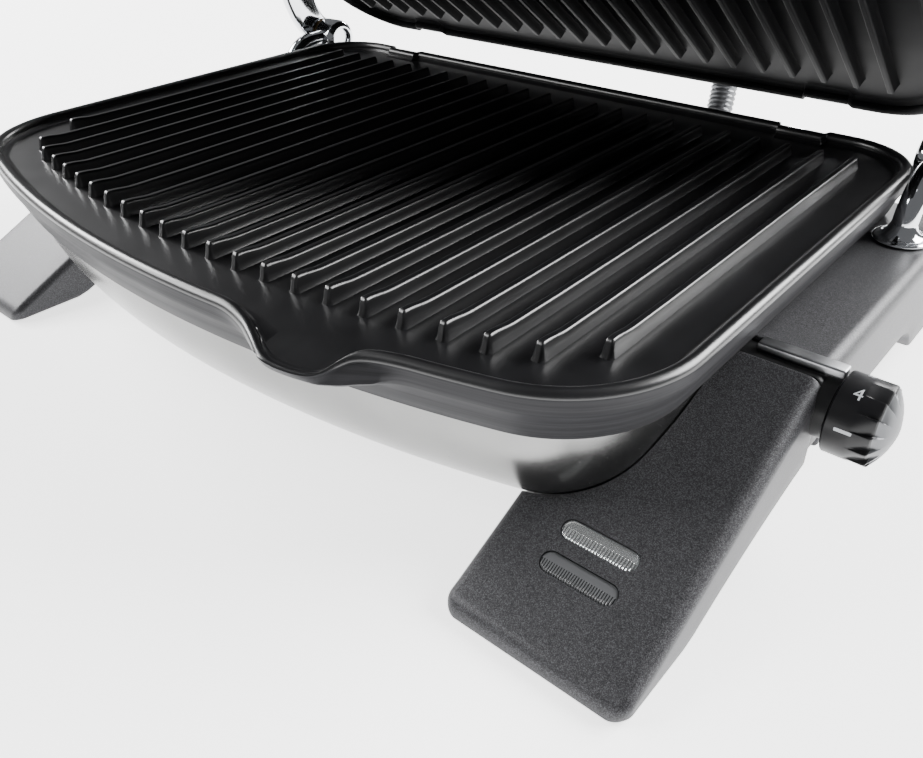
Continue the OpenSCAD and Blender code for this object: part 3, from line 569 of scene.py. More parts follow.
class MeshMaker:
    """Collects points and faces in the rib frame and turns them into one piece."""

    def __init__(self) -> None:
        """Starts with no points."""
        self.points: Ring = []
        self.faces: list[tuple[int, ...]] = []
        self.kinds: list[int] = []

    def loft(self, rings: Sequence[Sequence[Point3]], kinds: Optional[Sequence[int]] = None,
             caps: tuple[bool, bool] = (True, True)) -> None:
        """Joins closed rings of equal length with quads.

        Args:
            rings: Rings of points.
            kinds: Material number for each band between rings; 0 where left out.
            caps: Whether the first and last ring get a face.
        """
        start, count = len(self.points), len(rings[0])
        kinds = kinds or [0] * (len(rings) - 1)
        for ring in rings:
            self.points.extend(tuple(p) for p in ring)
        for r, kind in enumerate(kinds):
            a, b = start + r * count, start + (r + 1) * count
            for i in range(count):
                j = (i + 1) % count
                self.faces.append((a + i, a + j, b + j, b + i))
                self.kinds.append(kind)
        if caps[0]:
            self.faces.append(tuple(start + i for i in reversed(range(count))))
            self.kinds.append(kinds[0])
        if caps[1]:
            base = start + (len(rings) - 1) * count
            self.faces.append(tuple(base + i for i in range(count)))
            self.kinds.append(kinds[-1])

    def lathe(self, profile: Sequence[Point2], centre: Point3, axis: Axis, sides: int) -> None:
        """Turns a profile of (distance along the axis, radius) about an axis line.

        Args:
            profile: Points along the profile; a radius of 0 closes the end.
            centre: A point on the axis.
            axis: Which way the axis runs.
            sides: Number of sides.
        """
        rings = []
        for along, radius in profile:
            ring = []
            for i in range(sides):
                a = 2 * math.pi * i / sides
                p, q = max(radius, 0.001) * math.cos(a), max(radius, 0.001) * math.sin(a)
                ring.append(tuple(c + d for c, d in zip(centre, axis.local(along, p, q))))
            rings.append(ring)
        self.loft(rings, caps=(profile[0][1] <= 0.01, profile[-1][1] <= 0.01))

    def turned_pair(self, profile: Sequence[Point2], centre: Point3, sides: int) -> None:
        """Turns a profile about a line along X, on the right and again mirrored on the left.

        Args:
            profile: (distance from the middle, radius) points.
            centre: A point on the axis.
            sides: Number of sides.
        """
        for s in (-1, 1):
            self.lathe([(s * a, r) for a, r in profile], centre, Axis.X, sides)

    def tube(self, path: Sequence[Point3], radius: float, sides: int) -> None:
        """Sweeps a round tube along a path.

        Args:
            path: Points along the middle.
            radius: Tube radius.
            sides: Number of sides.
        """
        points = [Vector(p) for p in path]
        up = (points[1] - points[0]).normalized().orthogonal().normalized()
        rings = []
        for i, point in enumerate(points):
            way = (points[min(i + 1, len(points) - 1)] - points[max(i - 1, 0)]).normalized()
            up = (up - way * up.dot(way)).normalized()
            side = way.cross(up)
            turns = [2 * math.pi * k / sides for k in range(sides)]
            rings.append([tuple(point + radius * (up * math.cos(a) + side * math.sin(a))) for a in turns])
        self.loft(rings)

    def slab(self, outline: Sequence[Point2], x0: float, x1: float, edge: float) -> None:
        """Extrudes a side view (y, z) from x0 to x1 with rounded edges.

        Args:
            outline: Closed outline, anticlockwise seen from +X.
            x0: First X.
            x1: Last X.
            edge: Edge radius.
        """
        count = len(outline)
        normals = []
        for i in range(count):
            ay, az = outline[i - 1]
            by, bz = outline[(i + 1) % count]
            t = Vector((by - ay, bz - az)).normalized()
            normals.append((t.y, -t.x))
        turns = [math.pi / 2 * k / 4 for k in range(5)]
        stations = [(x0, 1, a) for a in turns] + [(x1, -1, a) for a in reversed(turns)]
        rings = []
        for x, way, a in stations:
            inset, along = edge * (1 - math.sin(a)), edge * (1 - math.cos(a))
            rings.append([(x + way * along, p[0] - n[0] * inset, p[1] - n[1] * inset)
                          for p, n in zip(outline, normals)])
        self.loft(rings)

    def mesh(self, name: str, place: Matrix, sharp_deg: float) -> bpy.types.Mesh:
        """Makes a clean mesh of the collected faces.

        Args:
            name: Mesh name.
            place: Matrix from the rib frame to the row frame.
            sharp_deg: Edges sharper than this stay sharp.

        Returns:
            The mesh.
        """
        mesh = bpy.data.meshes.new(name)
        mesh.from_pydata([tuple(place @ Vector(p)) for p in self.points], [], self.faces)
        mesh.polygons.foreach_set("material_index", self.kinds)
        clean_up(mesh, sharp_deg)
        return mesh

    def piece(self, name: str, body: Body, *finishes: Finish, node: str = "", turned_over: bool = False,
              mirrored: bool = False, sharp_deg: float = 40.0) -> bpy.types.Object:
        """Makes the object, at the origin, riding on its body.

        Args:
            name: Piece name.
            body: Body it moves with.
            *finishes: One finish for each material number.
            node: CAD node it stands for; the one of the same name where left out.
            turned_over: Whether to mirror about the parting line, for the lid side.
            mirrored: Whether to mirror left to right.
            sharp_deg: Edges sharper than this stay sharp.

        Returns:
            The new object.
        """
        if turned_over:
            self.points = [(x, y, 2 * POSTURE.parting - z) for x, y, z in self.points]
        if mirrored:
            self.points = [(-x, y, z) for x, y, z in self.points]
        mesh = self.mesh(name, body.matrix(), sharp_deg)
        for finish in finishes:
            mesh.materials.append(finish.material())
        return settle(linked(name, mesh), body, node or name)


def clean_up(mesh: bpy.types.Mesh, sharp_deg: float) -> None:
    """Welds a mesh, turns its faces outward and smooths it except at its sharp edges.

    Args:
        mesh: Mesh to clean.
        sharp_deg: Edges sharper than this stay sharp.
    """
    work = bmesh.new()
    work.from_mesh(mesh)
    bmesh.ops.remove_doubles(work, verts=work.verts, dist=WELD_M)
    bmesh.ops.dissolve_degenerate(work, edges=work.edges, dist=SLIVER_M)
    bmesh.ops.recalc_face_normals(work, faces=work.faces)
    limit = math.radians(sharp_deg)
    for face in work.faces:
        face.smooth = True
    for edge in work.edges:
        edge.smooth = len(edge.link_faces) != 2 or edge.calc_face_angle(0.0) < limit
    work.to_mesh(mesh)
    work.free()
    mesh.update()


def settle(made: bpy.types.Object, body: Body, node: str = "") -> bpy.types.Object:
    """Lets a finished object ride on its body and stand for its CAD node.

    Args:
        made: The finished object.
        body: Body it rides on.
        node: CAD node it stands for, if any.

    Returns:
        The same object.
    """
    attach(made, body.value)
    if node:
        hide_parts(node)
    LOG.info("piece %s: %d faces", made.name, len(made.data.polygons))
    return made


def new_geometry_tree(name: str, sizes: dict[str, float], takes_mesh: bool) -> Tree:
    """Starts a geometry tree with named sizes.

    Args:
        name: Tree name.
        sizes: Input names and values.
        takes_mesh: Whether it works on the holder's own geometry.

    Returns:
        The tree, with its sockets and no nodes.
    """
    tree = bpy.data.node_groups.new(name, "GeometryNodeTree")
    if takes_mesh:
        tree.interface.new_socket("Geometry", in_out="INPUT", socket_type="NodeSocketGeometry")
    tree.interface.new_socket("Geometry", in_out="OUTPUT", socket_type="NodeSocketGeometry")
    for label, size in sizes.items():
        socket = tree.interface.new_socket(label, in_out="INPUT", socket_type="NodeSocketFloat")
        socket.default_value = size
    return tree


def end_tree(tree: Tree, shape: bpy.types.Node, finish: Finish) -> None:
    """Ends a geometry tree: smooth shading, then the material.

    Args:
        tree: Geometry tree.
        shape: Its last node so far, with the geometry first among its outputs.
        finish: What the shape is finished in.
    """
    smooth = add_node(tree, "GeometryNodeSetShadeSmooth", {0: shape.outputs[0]})
    coated = add_node(tree, "GeometryNodeSetMaterial",
                      {0: smooth.outputs[0], "Material": finish.material()})
    add_node(tree, "NodeGroupOutput", {0: coated.outputs[0]})


def baked(holder: bpy.types.Object, tree: Tree, sizes: dict[str, float]) -> bpy.types.Object:
    """Runs a geometry tree on an object and keeps the result as a plain mesh.

    Args:
        holder: Object whose geometry goes in.
        tree: Geometry tree.
        sizes: Input names and values.

    Returns:
        A new mesh object; the holder is removed.
    """
    modifier = holder.modifiers.new("shape", "NODES")
    modifier.node_group = tree
    for item in tree.interface.items_tree:
        if item.item_type == "SOCKET" and item.in_out == "INPUT" and item.name in sizes:
            modifier[item.identifier] = sizes[item.name]
    mesh = evaluated_mesh(holder)
    name = holder.name
    bpy.data.objects.remove(holder)
    mesh.name = name
    return linked(name, mesh)


def boolean_cut(target: bpy.types.Object, cutter: MeshMaker) -> None:
    """Cuts closed shapes out of a piece and drops the cutter.

    Args:
        target: Piece that is cut, on the base.
        cutter: What is taken out.
    """
    tool = linked("cutter", cutter.mesh("cutter", POSTURE.base(), 30))
    change = target.modifiers.new("cut", "BOOLEAN")
    change.object, change.operation, change.solver = tool, "DIFFERENCE", "EXACT"
    result = evaluated_mesh(target)
    target.modifiers.clear()
    target.data = result
    clean_up(result, 35)
    bpy.data.objects.remove(tool)


def join(main: bpy.types.Object, extra: bpy.types.Object) -> None:
    """Adds a mesh to a piece, keeping the piece's place, and drops the extra object.

    Args:
        main: Piece that grows.
        extra: Object whose mesh is added; its materials are matched by name.
    """
    names = [m.name for m in main.data.materials]
    lookup = [names.index(m.name) if m is not None else 0 for m in extra.data.materials]
    for polygon in extra.data.polygons:
        polygon.material_index = lookup[polygon.material_index] if lookup else 0
    work = bmesh.new()
    work.from_mesh(main.data)
    work.from_mesh(extra.data)
    work.to_mesh(main.data)
    work.free()
    main.data.update()
    bpy.data.objects.remove(extra)


# ---------------- plans, curves and sections
@dataclass(frozen=True)
class Spot:
    """One place on a plan outline: the point and its outward normal."""

    x: float
    y: float
    nx: float
    ny: float

    def at(self, offset: float, z: float) -> Point3:
        """Returns the point that lies offset outside the outline, at height z."""
        return (self.x + self.nx * offset, self.y + self.ny * offset, z)


def turn(centre: Point2, radius: float, start: float, end: float, steps: int) -> list[Spot]:
    """Samples an arc with its normals.

    Args:
        centre: Its centre.
        radius: Its radius.
        start: First angle, in radians.
        end: Last angle.
        steps: How many steps.

    Returns:
        The samples, both ends with them.
    """
    angles = [start + (end - start) * i / steps for i in range(steps + 1)]
    return [Spot(centre[0] + radius * math.cos(a), centre[1] + radius * math.sin(a),
                 math.cos(a), math.sin(a)) for a in angles]


@dataclass(frozen=True)
class Plan:
    """Rounded plan with a bowed front and a straight back."""

    half: float
    front: float
    rear: float
    bow: float
    front_corner: float
    rear_corner: float
    side_steps: int = 14
    rear_steps: int = 24

    def spots(self, bow_steps: int, corner_steps: int, rear_breaks: Sequence[float] = ()) -> list[Spot]:
        """Samples the closed outline anticlockwise from the left front corner.

        Args:
            bow_steps: Steps along the bowed front.
            corner_steps: Steps round each corner.
            rear_breaks: Extra x positions along the back.

        Returns:
            The samples in order.
        """
        bow_y = self.front + self.bow
        cx = self.half - self.front_corner
        cy = bow_y - math.sqrt((self.bow - self.front_corner) ** 2 - cx * cx)
        meet = math.asin(cx / (self.bow - self.front_corner))
        out = turn((0.0, bow_y), self.bow, -math.pi / 2 - meet, meet - math.pi / 2, bow_steps)
        out += turn((cx, cy), self.front_corner, meet - math.pi / 2, 0.0, corner_steps)[1:]
        rear_y = self.rear - self.rear_corner
        side = [cy + (rear_y - cy) * i / self.side_steps for i in range(1, self.side_steps)]
        out += [Spot(self.half, y, 1, 0) for y in side]
        rx = self.half - self.rear_corner
        out += turn((rx, rear_y), self.rear_corner, 0.0, math.pi / 2, corner_steps)
        even = [rx - 2 * rx * i / self.rear_steps for i in range(1, self.rear_steps)]
        across = sorted({round(v, 3) for v in even + list(rear_breaks)})
        out += [Spot(x, self.rear, 0, 1) for x in reversed(across)]
        out += turn((-rx, rear_y), self.rear_corner, math.pi / 2, math.pi, corner_steps)
        out += [Spot(-self.half, y, -1, 0) for y in reversed(side)]
        out += turn((-cx, cy), self.front_corner, math.pi, 1.5 * math.pi - meet, corner_steps)[:-1]
        return out


PLATE = Plan(half=165.0, front=-225.5, rear=24.0, bow=471.0, front_corner=46.0, rear_corner=31.0)
BOWL = Plan(half=154.0, front=-214.5, rear=13.0, bow=460.0, front_corner=35.0, rear_corner=35.0)
Section = Callable[[Spot], Outline]


def smooth_step(t: float) -> float:
    """Returns a smooth step from 0 to 1."""
    t = min(max(t, 0.0), 1.0)
    return t * t * (3 - 2 * t)


def lean(table: Sequence[Sequence[float]], row: int, column: int) -> float:
    """Works out a curve's slope at one of its rows, level at both ends.

    Args:
        table: Rows of x and its values, in rising x.
        row: Which row.
        column: Which value.

    Returns:
        The slope.
    """
    if row in (0, len(table) - 1):
        return 0.0
    before, after = table[row - 1], table[row + 1]
    return (after[column] - before[column]) / (after[0] - before[0])


def through(table: Sequence[Sequence[float]], x: float, column: int) -> float:
    """Returns a smooth curve's value at x.

    Args:
        table: Rows of x and its values, in rising x.
        x: Where to read it; beyond the ends it keeps the end's value.
        column: Which value.

    Returns:
        The value.
    """
    if x <= table[0][0] or x >= table[-1][0]:
        return table[0][column] if x <= table[0][0] else table[-1][column]
    k = max(i for i in range(len(table) - 1) if table[i][0] <= x)
    wide = table[k + 1][0] - table[k][0]
    t = (x - table[k][0]) / wide
    a, b = table[k][column], table[k + 1][column]
    rise, land = lean(table, k, column) * wide, lean(table, k + 1, column) * wide
    return ((1 + 2 * t) * (1 - t) ** 2 * a + t * (1 - t) ** 2 * rise + t * t * (3 - 2 * t) * b
            - t * t * (1 - t) * land)


def arc(cx: float, cz: float, radius: float, start: float, end: float, steps: int) -> Outline:
    """Returns points on an arc, angles in degrees."""
    angles = [math.radians(start + (end - start) * i / steps) for i in range(steps + 1)]
    return [(cx + radius * math.cos(a), cz + radius * math.sin(a)) for a in angles]


def bezier(points: Sequence[Point2], t: float) -> Point2:
    """Returns a point on a cubic curve."""
    w = ((1 - t) ** 3, 3 * t * (1 - t) ** 2, 3 * t * t * (1 - t), t**3)
    return (sum(a * p[0] for a, p in zip(w, points)), sum(a * p[1] for a, p in zip(w, points)))


def rounded_rectangle(x0: float, x1: float, y0: float, y1: float, r: float, steps: int = 6) -> Outline:
    """Works out a rounded rectangle.

    Args:
        x0: Left.
        x1: Right.
        y0: Bottom.
        y1: Top.
        r: Corner radius.
        steps: Steps round each corner.

    Returns:
        Its points, anticlockwise.
    """
    out: Outline = []
    a, b, c, d = x0 + r, x1 - r, y0 + r, y1 - r
    for cx, cy, start in ((b, c, -90), (b, d, 0), (a, d, 90), (a, c, 180)):
        out += arc(cx, cy, r, start, start + 90, steps)
    return out


def rounded_section(x0: float, x1: float, z0: float, z1: float, inner: float, outer: float,
                    foot: float) -> Outline:
    """Returns a cross-section (x, z) with rounded shoulders, anticlockwise from the lower inner corner.

    Args:
        x0: Inner face.
        x1: Outer face.
        z0: Underside.
        z1: Top.
        inner: Inner shoulder radius.
        outer: Outer shoulder radius.
        foot: Radius of the two lower edges.

    Returns:
        The points.
    """
    wide, high = max(x1 - x0, 0.2), max(z1 - z0, 0.2)
    inner, outer = min(inner, wide * 0.45, high * 0.48), min(outer, wide * 0.45, high * 0.48)
    foot = min(foot, high * 0.3, wide * 0.3)
    out = arc(x0 + foot, z0 + foot, foot, 180, 270, 4)
    out += [(x0 + wide * t, z0) for t in (0.33, 0.67)]
    out += arc(x1 - foot, z0 + foot, foot, 270, 360, 4)
    out += [(x1, z0 + foot + (high - foot - outer) * t) for t in (0.25, 0.5, 0.75)]
    out += arc(x1 - outer, z1 - outer, outer, 0, 90, 12)
    out += [(x1 - outer + (inner - wide + outer) * t, z1) for t in (0.2, 0.4, 0.6, 0.8)]
    out += arc(x0 + inner, z1 - inner, inner, 90, 180, 8)
    out += [(x0, z1 - inner + (z0 + foot - z1 + inner) * t) for t in (0.25, 0.5, 0.75)]
    return out


def sweep(maker: MeshMaker, spots: Sequence[Spot], section: Section,
          kinds: Optional[Sequence[int]] = None) -> None:
    """Sweeps a section round the plan and closes it with a floor at both ends.

    Args:
        maker: Mesh that takes the faces.
        spots: Outline samples.
        section: Gives the (offset, z) points at a spot, the same number everywhere.
        kinds: Material number for each band.
    """
    columns = [[spot.at(offset, z) for offset, z in section(spot)] for spot in spots]
    maker.loft([[column[r] for column in columns] for r in range(len(columns[0]))], kinds)


# ---------------- cooking plates
@dataclass(frozen=True)
class RibRow:
    """Geometry tree that stands a row of cast ribs: a tooth at the front, a long low run behind it.

    A strip's steps are fine behind the tooth, long in the middle and fine again at the rear end.
    """

    count: int = 23
    pitch: float = 13.0
    across: int = 15
    front_steps: int = 26
    front_step: float = 0.62
    long_steps: int = 10
    rear_steps: int = 8
    rear_step: float = 0.35
    floor: float = -4.2
    sunk: float = 0.04
    height: float = 4.2
    margin: float = -204.8
    line_radius: float = 560.0
    corner_x: float = 119.0
    corner_y: float = -162.5
    corner_radius: float = 27.0
    last_rib_x: float = 136.0
    last_rib_late: float = 8.5
    front_rise: float = 1.7
    tooth_top: float = 3.0
    tooth_fall: float = 9.5
    tooth_share: float = 0.72
    tail_fall: float = 30.0
    rear_round: float = 1.4
    rear_power: float = 2.4
    fillet: float = 0.35
    top_half: float = 0.85
    end_round: float = 1.2
    end_taper: float = 0.225
    tooth: float = 5.4
    setback: float = 0.0
    half_foot: float = 1.8
    rear_end: float = 0.0

    SPACING = 10.0

    def sizes(self) -> dict[str, float]:
        """Returns the tree's inputs."""
        return {"Tooth height": self.tooth, "Front setback": self.setback, "Half width": self.half_foot,
                "Rear end": self.rear_end}

    def tree(self, finish: Finish) -> Tree:
        """Builds the tree.

        Args:
            finish: Material for the ribs.

        Returns:
            The geometry node group.
        """
        tree = new_geometry_tree("cast_rib_row", self.sizes(), takes_mesh=False)
        inputs = add_node(tree, "NodeGroupInput")
        sizes = [Field(tree, inputs.outputs[name]) for name in self.sizes()]
        line = add_node(tree, "GeometryNodeMeshLine", {"Count": self.count, "Offset": (self.SPACING, 0, 0)})
        along = self.front_steps + self.long_steps + self.rear_steps + 1
        strip = add_node(tree, "GeometryNodeMeshGrid",
                         {"Size X": 2.0, "Size Y": 1.0, "Vertices X": self.across, "Vertices Y": along})
        placed = add_node(tree, "GeometryNodeInstanceOnPoints",
                          {"Points": line.outputs[0], "Instance": strip.outputs[0]})
        real = add_node(tree, "GeometryNodeRealizeInstances", {0: placed.outputs[0]})
        spot = add_node(tree, "ShaderNodeSeparateXYZ",
                        {0: add_node(tree, "GeometryNodeInputPosition").outputs[0]})
        x, y, z = self.shape(Field(tree, spot.outputs[0]), Field(tree, spot.outputs[1]), *sizes)
        moved = add_node(tree, "ShaderNodeCombineXYZ", {0: x, 1: y, 2: z})
        shaped = add_node(tree, "GeometryNodeSetPosition",
                          {0: real.outputs[0], "Position": moved.outputs[0]})
        end_tree(tree, shaped, finish)
        return tree

    def front_line(self, centre: Field, setback: Field) -> Field:
        """Works out where a rib starts: on the bowed tooth line, or round the plate's corner.

        Args:
            centre: The rib's middle, along X.
            setback: How far behind the tooth line the ribs start.

        Returns:
            The y of its front.
        """
        bowed = centre * centre / (2 * self.line_radius) + self.margin
        past = centre.size() - self.corner_x
        round_corner = self.corner_y - (self.corner_radius**2 - past * past).root()
        outer = past.above(0.0)
        late = (centre * -1.0).above(self.last_rib_x) * self.last_rib_late
        return bowed * (1.0 - outer) + round_corner * outer + setback + late

    def distance(self, raw_y: Field, length: Field) -> Field:
        """Works out how far behind its front a strip's point lies.

        Args:
            raw_y: Position along the strip, -0.5 to 0.5.
            length: The rib's length.

        Returns:
            The distance.
        """
        step = (raw_y + 0.5) * (self.front_steps + self.long_steps + self.rear_steps)
        near = step.at_most(self.front_steps) * self.front_step
        rest = length - self.front_steps * self.front_step - self.rear_steps * self.rear_step
        middle = (step - self.front_steps).between(0.0, self.long_steps) * rest / self.long_steps
        end = (step - (self.front_steps + self.long_steps)).at_least(0.0) * self.rear_step
        return near + middle + end

    def shape(self, raw_x: Field, raw_y: Field, tooth: Field, setback: Field, wide: Field,
              rear: Field) -> tuple[Field, Field, Field]:
        """Turns strip coordinates into rib coordinates in millimetres.

        Args:
            raw_x: Position along the row of strips, SPACING to a rib.
            raw_y: Position along a strip, -0.5 to 0.5.
            tooth: Height of the tooth above the floor.
            setback: How far behind the tooth line the ribs start.
            wide: Half width at the foot.
            rear: Y of the rear ends.

        Returns:
            The x, y and z fields.
        """
        index = (raw_x / self.SPACING).step("ROUND")
        centre = (index - (self.count - 1) / 2) * self.pitch
        start = self.front_line(centre, setback)
        length = rear - start
        gone = self.distance(raw_y, length)
        left = length - gone
        past = gone - self.tooth_top
        hump = ((1.0 - (past / self.tooth_fall).ease()) * self.tooth_share
                + (1.0 - (past / self.tail_fall).ease()) * (1 - self.tooth_share))
        run = (tooth - self.height) * hump + self.height
        fall = 1.0 - (1.0 - (left / self.rear_round).between(0.0, 1.0)).step("POWER", self.rear_power)
        top = run * (gone / self.front_rise).ease() * fall
        reach = wide + self.fillet
        aside = (raw_x - index * self.SPACING) * reach
        profile = 1.0 - ((aside.size() - self.top_half) / (reach - self.top_half)).ease()
        ends = (self.end_round - gone).at_least(0.0) + (self.end_round - left).at_least(0.0)
        x = centre + aside * (1.0 - ends * self.end_taper)
        return x, start + gone, top * profile + (self.floor - self.sunk)


@dataclass(frozen=True)
class CookingPlate:
    """Cast plate: swept beaded rim, skirt, floor and ribs; the lower one has a spout and toothed ribs.

    Rows of the spout say, at a distance from its middle, how far the rim goes out, how far it drops
    and how far its underside reaches.
    """

    spouted: bool
    bead: float = 2.4
    spout_bead: float = 1.45
    floor: float = -4.2
    under: float = -7.6
    lip_under: float = -6.7
    notch_x: float = 114.0
    notch_half: float = 10.0
    notch_depth: float = 3.2
    notch_blend: float = 1.4
    spout_x: float = 78.5
    spout: tuple[tuple[float, float, float, float], ...] = (
        (-38.0, 0.0, 0.0, 0.0), (-30.0, 0.6, 0.1, 0.2), (-22.0, 3.0, 1.0, 2.4), (-15.0, 6.8, 2.0, 5.8),
        (-9.5, 10.2, 3.1, 8.8), (-5.0, 12.0, 3.95, 10.4), (1.5, 12.6, 4.1, 10.9), (8.0, 11.8, 4.1, 10.8),
        (10.6, 9.8, 3.9, 10.3), (12.6, 5.6, 2.6, 9.5), (15.5, 2.4, 1.1, 8.2), (20.0, 0.9, 0.35, 5.2),
        (28.0, 0.1, 0.0, 1.2), (36.0, 0.0, 0.0, 0.0))
    toothed: RibRow = RibRow()
    plain: RibRow = RibRow(tooth=4.2, setback=16.0)

    def shift(self, spot: Spot) -> Point3:
        """Works out how the rim departs from the plan: in at the hook notches, out and down at the spout.

        Args:
            spot: Place on the plan.

        Returns:
            How far the rim goes out, how far it drops and how far its underside reaches.
        """
        if spot.ny > 0.99:
            edge = abs(abs(spot.x) - self.notch_x) - self.notch_half
            return -self.notch_depth * (1 - smooth_step(edge / self.notch_blend + 0.5)), 0.0, 0.0
        if not self.spouted or spot.ny > -0.5:
            return 0.0, 0.0, 0.0
        out, drop, deep = (through(self.spout, spot.x - self.spout_x, column) for column in (1, 2, 3))
        return out, drop, deep

    def section(self, spot: Spot) -> Outline:
        """Works out the rim's section, from the floor over the bead and down the skirt to the underside.

        Args:
            spot: Place on the plan.

        Returns:
            The (offset, z) points.
        """
        out, drop, deep = self.shift(spot)
        return self.over_the_bead(out, drop) + self.below_the_bead(out, drop, deep)

    def bead_at(self, drop: float) -> tuple[float, float]:
        """Returns how far down the spout the rim is, 0 to 1, and the bead's radius there."""
        low = min(drop / max(row[2] for row in self.spout), 1.0)
        return low, self.bead - (self.bead - self.spout_bead) * low

    def over_the_bead(self, out: float, drop: float) -> Outline:
        """Works out the section from the floor to the outside of the bead.

        Args:
            out: How far the rim goes out.
            drop: How far it drops.

        Returns:
            The points.
        """
        low, bead = self.bead_at(drop)
        end = out - 2 * bead - 0.9
        sink = min(self.floor, -drop - 0.22)
        inner = [(-14.0, self.floor), (-9.2, self.floor), (end * 0.5 - 4.4, (self.floor + sink) / 2),
                 (end - 1.3 * (1 - low), sink), (end - 0.35, sink + 0.3 * (1 - low)),
                 (end + 0.25, sink + 0.9 * (1 - low))]
        crown = arc(out - bead, -drop - bead, bead, 188, -8, 14)
        return inner + [(x, max(z, sink + 0.1)) for x, z in crown]

    def below_the_bead(self, out: float, drop: float, deep: float) -> Outline:
        """Works out the section from the bead down the skirt, round its foot and back under the floor.

        Args:
            out: How far the rim goes out.
            drop: How far it drops.
            deep: How far its underside reaches.

        Returns:
            The points.
        """
        edge = -drop - self.bead_at(drop)[1]
        flare = deep / max(row[3] for row in self.spout)
        plain = [(out * (1 - f) - 0.1 - 1.0 * f, edge + h)
                 for f, h in ((0.06, -1.0), (0.2, -2.2), (0.42, -3.6), (0.64, -5.2))]
        slab = [((out + deep) / 2, (edge + self.lip_under) / 2), (deep, self.lip_under),
                (deep - 0.9, self.lip_under - 0.9), (deep * 0.55 - 0.6, self.lip_under - 1.5)]
        spread = smooth_step(deep / 4.0)
        under = [(a[0] + (b[0] - a[0]) * spread, a[1] + (b[1] - a[1]) * spread)
                 for a, b in zip(plain, slab)]
        skirt = [(-1.9 + 1.2 * flare, -8.9 - 0.6 * flare), (-3.1, -12.6), (-4.4, -16.6)]
        inside = [(-7.2, -17.8), (-7.5, -17.0), (-5.6, -11.0), (-6.6, self.under - 0.6),
                  (-11.0, self.under)]
        return under + skirt + arc(-5.5, -17.1, 0.7, 0, -90, 4) + inside

    @staticmethod
    def kinds() -> list[int]:
        """Returns the material number of each band: casting inside and on top, brushed outside."""
        casting_inside, brushed, casting_under = 19, 14, 4
        return [0] * casting_inside + [1] * brushed + [0] * casting_under

    def rib_mesh(self, name: str, body: Body, coat: Finish) -> bpy.types.Object:
        """Builds the plate's ribs.

        Args:
            name: Name of the plate.
            body: Body it rides on.
            coat: Its finish.

        Returns:
            The ribs, in place.
        """
        ribs = self.toothed if self.spouted else self.plain
        holder = linked(name + "_ribs", bpy.data.meshes.new(name + "_ribs"))
        row = baked(holder, ribs.tree(coat), ribs.sizes())
        if not self.spouted:
            over = Matrix.Translation((0, 0, 2 * POSTURE.parting)) @ Matrix.Scale(-1, 4, (0, 0, 1))
            row.data.transform(over)
            row.data.flip_normals()
        row.data.transform(body.matrix())
        return row

    def build(self, name: str, body: Body, node: str) -> None:
        """Builds one plate.

        Args:
            name: Piece name.
            body: Body it rides on.
            node: CAD node it stands for.
        """
        breaks = (-0.9, -0.6, -0.3, 0.0, 0.3, 0.6, 0.9)
        edges = [s * (self.notch_x + t * (self.notch_half + e))
                 for s in (-1, 1) for t in (-1, 1) for e in breaks]
        maker = MeshMaker()
        sweep(maker, PLATE.spots(260, 20, edges), self.section, self.kinds())
        # The lid plate takes the darker, duller copy of the coating: painted shade.
        coat = FINISHES.casting if self.spouted else FINISHES.casting_lid_painted_shade
        plate = maker.piece(name, body, coat, FINISHES.skirt, node=node, turned_over=not self.spouted,
                            sharp_deg=50)
        join(plate, self.rib_mesh(name, body, coat))
        LOG.info("%s with ribs: %d faces", name, len(plate.data.polygons))


# ---------------- steel shells
@dataclass(frozen=True)
class SteelShell:
    """Pressed steel bowl or lid shell with a large quarter-round edge."""

    top: float = -9.0
    wall: float = -26.0
    radius: float = 34.0
    steel: float = 1.5

    def quarter(self, radius: float, steps: int) -> Outline:
        """Returns the rounded edge from the floor up to the wall, at a radius about its centre."""
        return [(x - self.radius, z) for x, z in arc(0.0, self.wall, radius, -90, 0, steps)]

    def section(self, spot: Spot) -> Outline:
        """Works out the shell's section, from the inside floor over the lip to the outside floor.

        Args:
            spot: Place on the plan; not used, as the section is the same everywhere.

        Returns:
            The (offset, z) points.
        """
        rim = self.top - self.steel / 2
        wall = [(0.0, self.wall + (rim - self.wall) * i / 3) for i in (2, 1)]
        lip = [(-self.steel, rim)] + arc(-self.steel / 2, rim, self.steel / 2, 150, 0, 5)
        return self.quarter(self.radius - self.steel, 14) + lip + wall + self.quarter(self.radius, 26)[::-1]

    def build(self, name: str, body: Body, node: str) -> None:
        """Builds one shell.

        Args:
            name: Piece name.
            body: Body it rides on; on the lid it is turned over.
            node: CAD node it stands for.
        """
        maker = MeshMaker()
        sweep(maker, BOWL.spots(120, 26), self.section)
        maker.piece(name, body, FINISHES.steel, node=node, turned_over=body is Body.LID, sharp_deg=60)


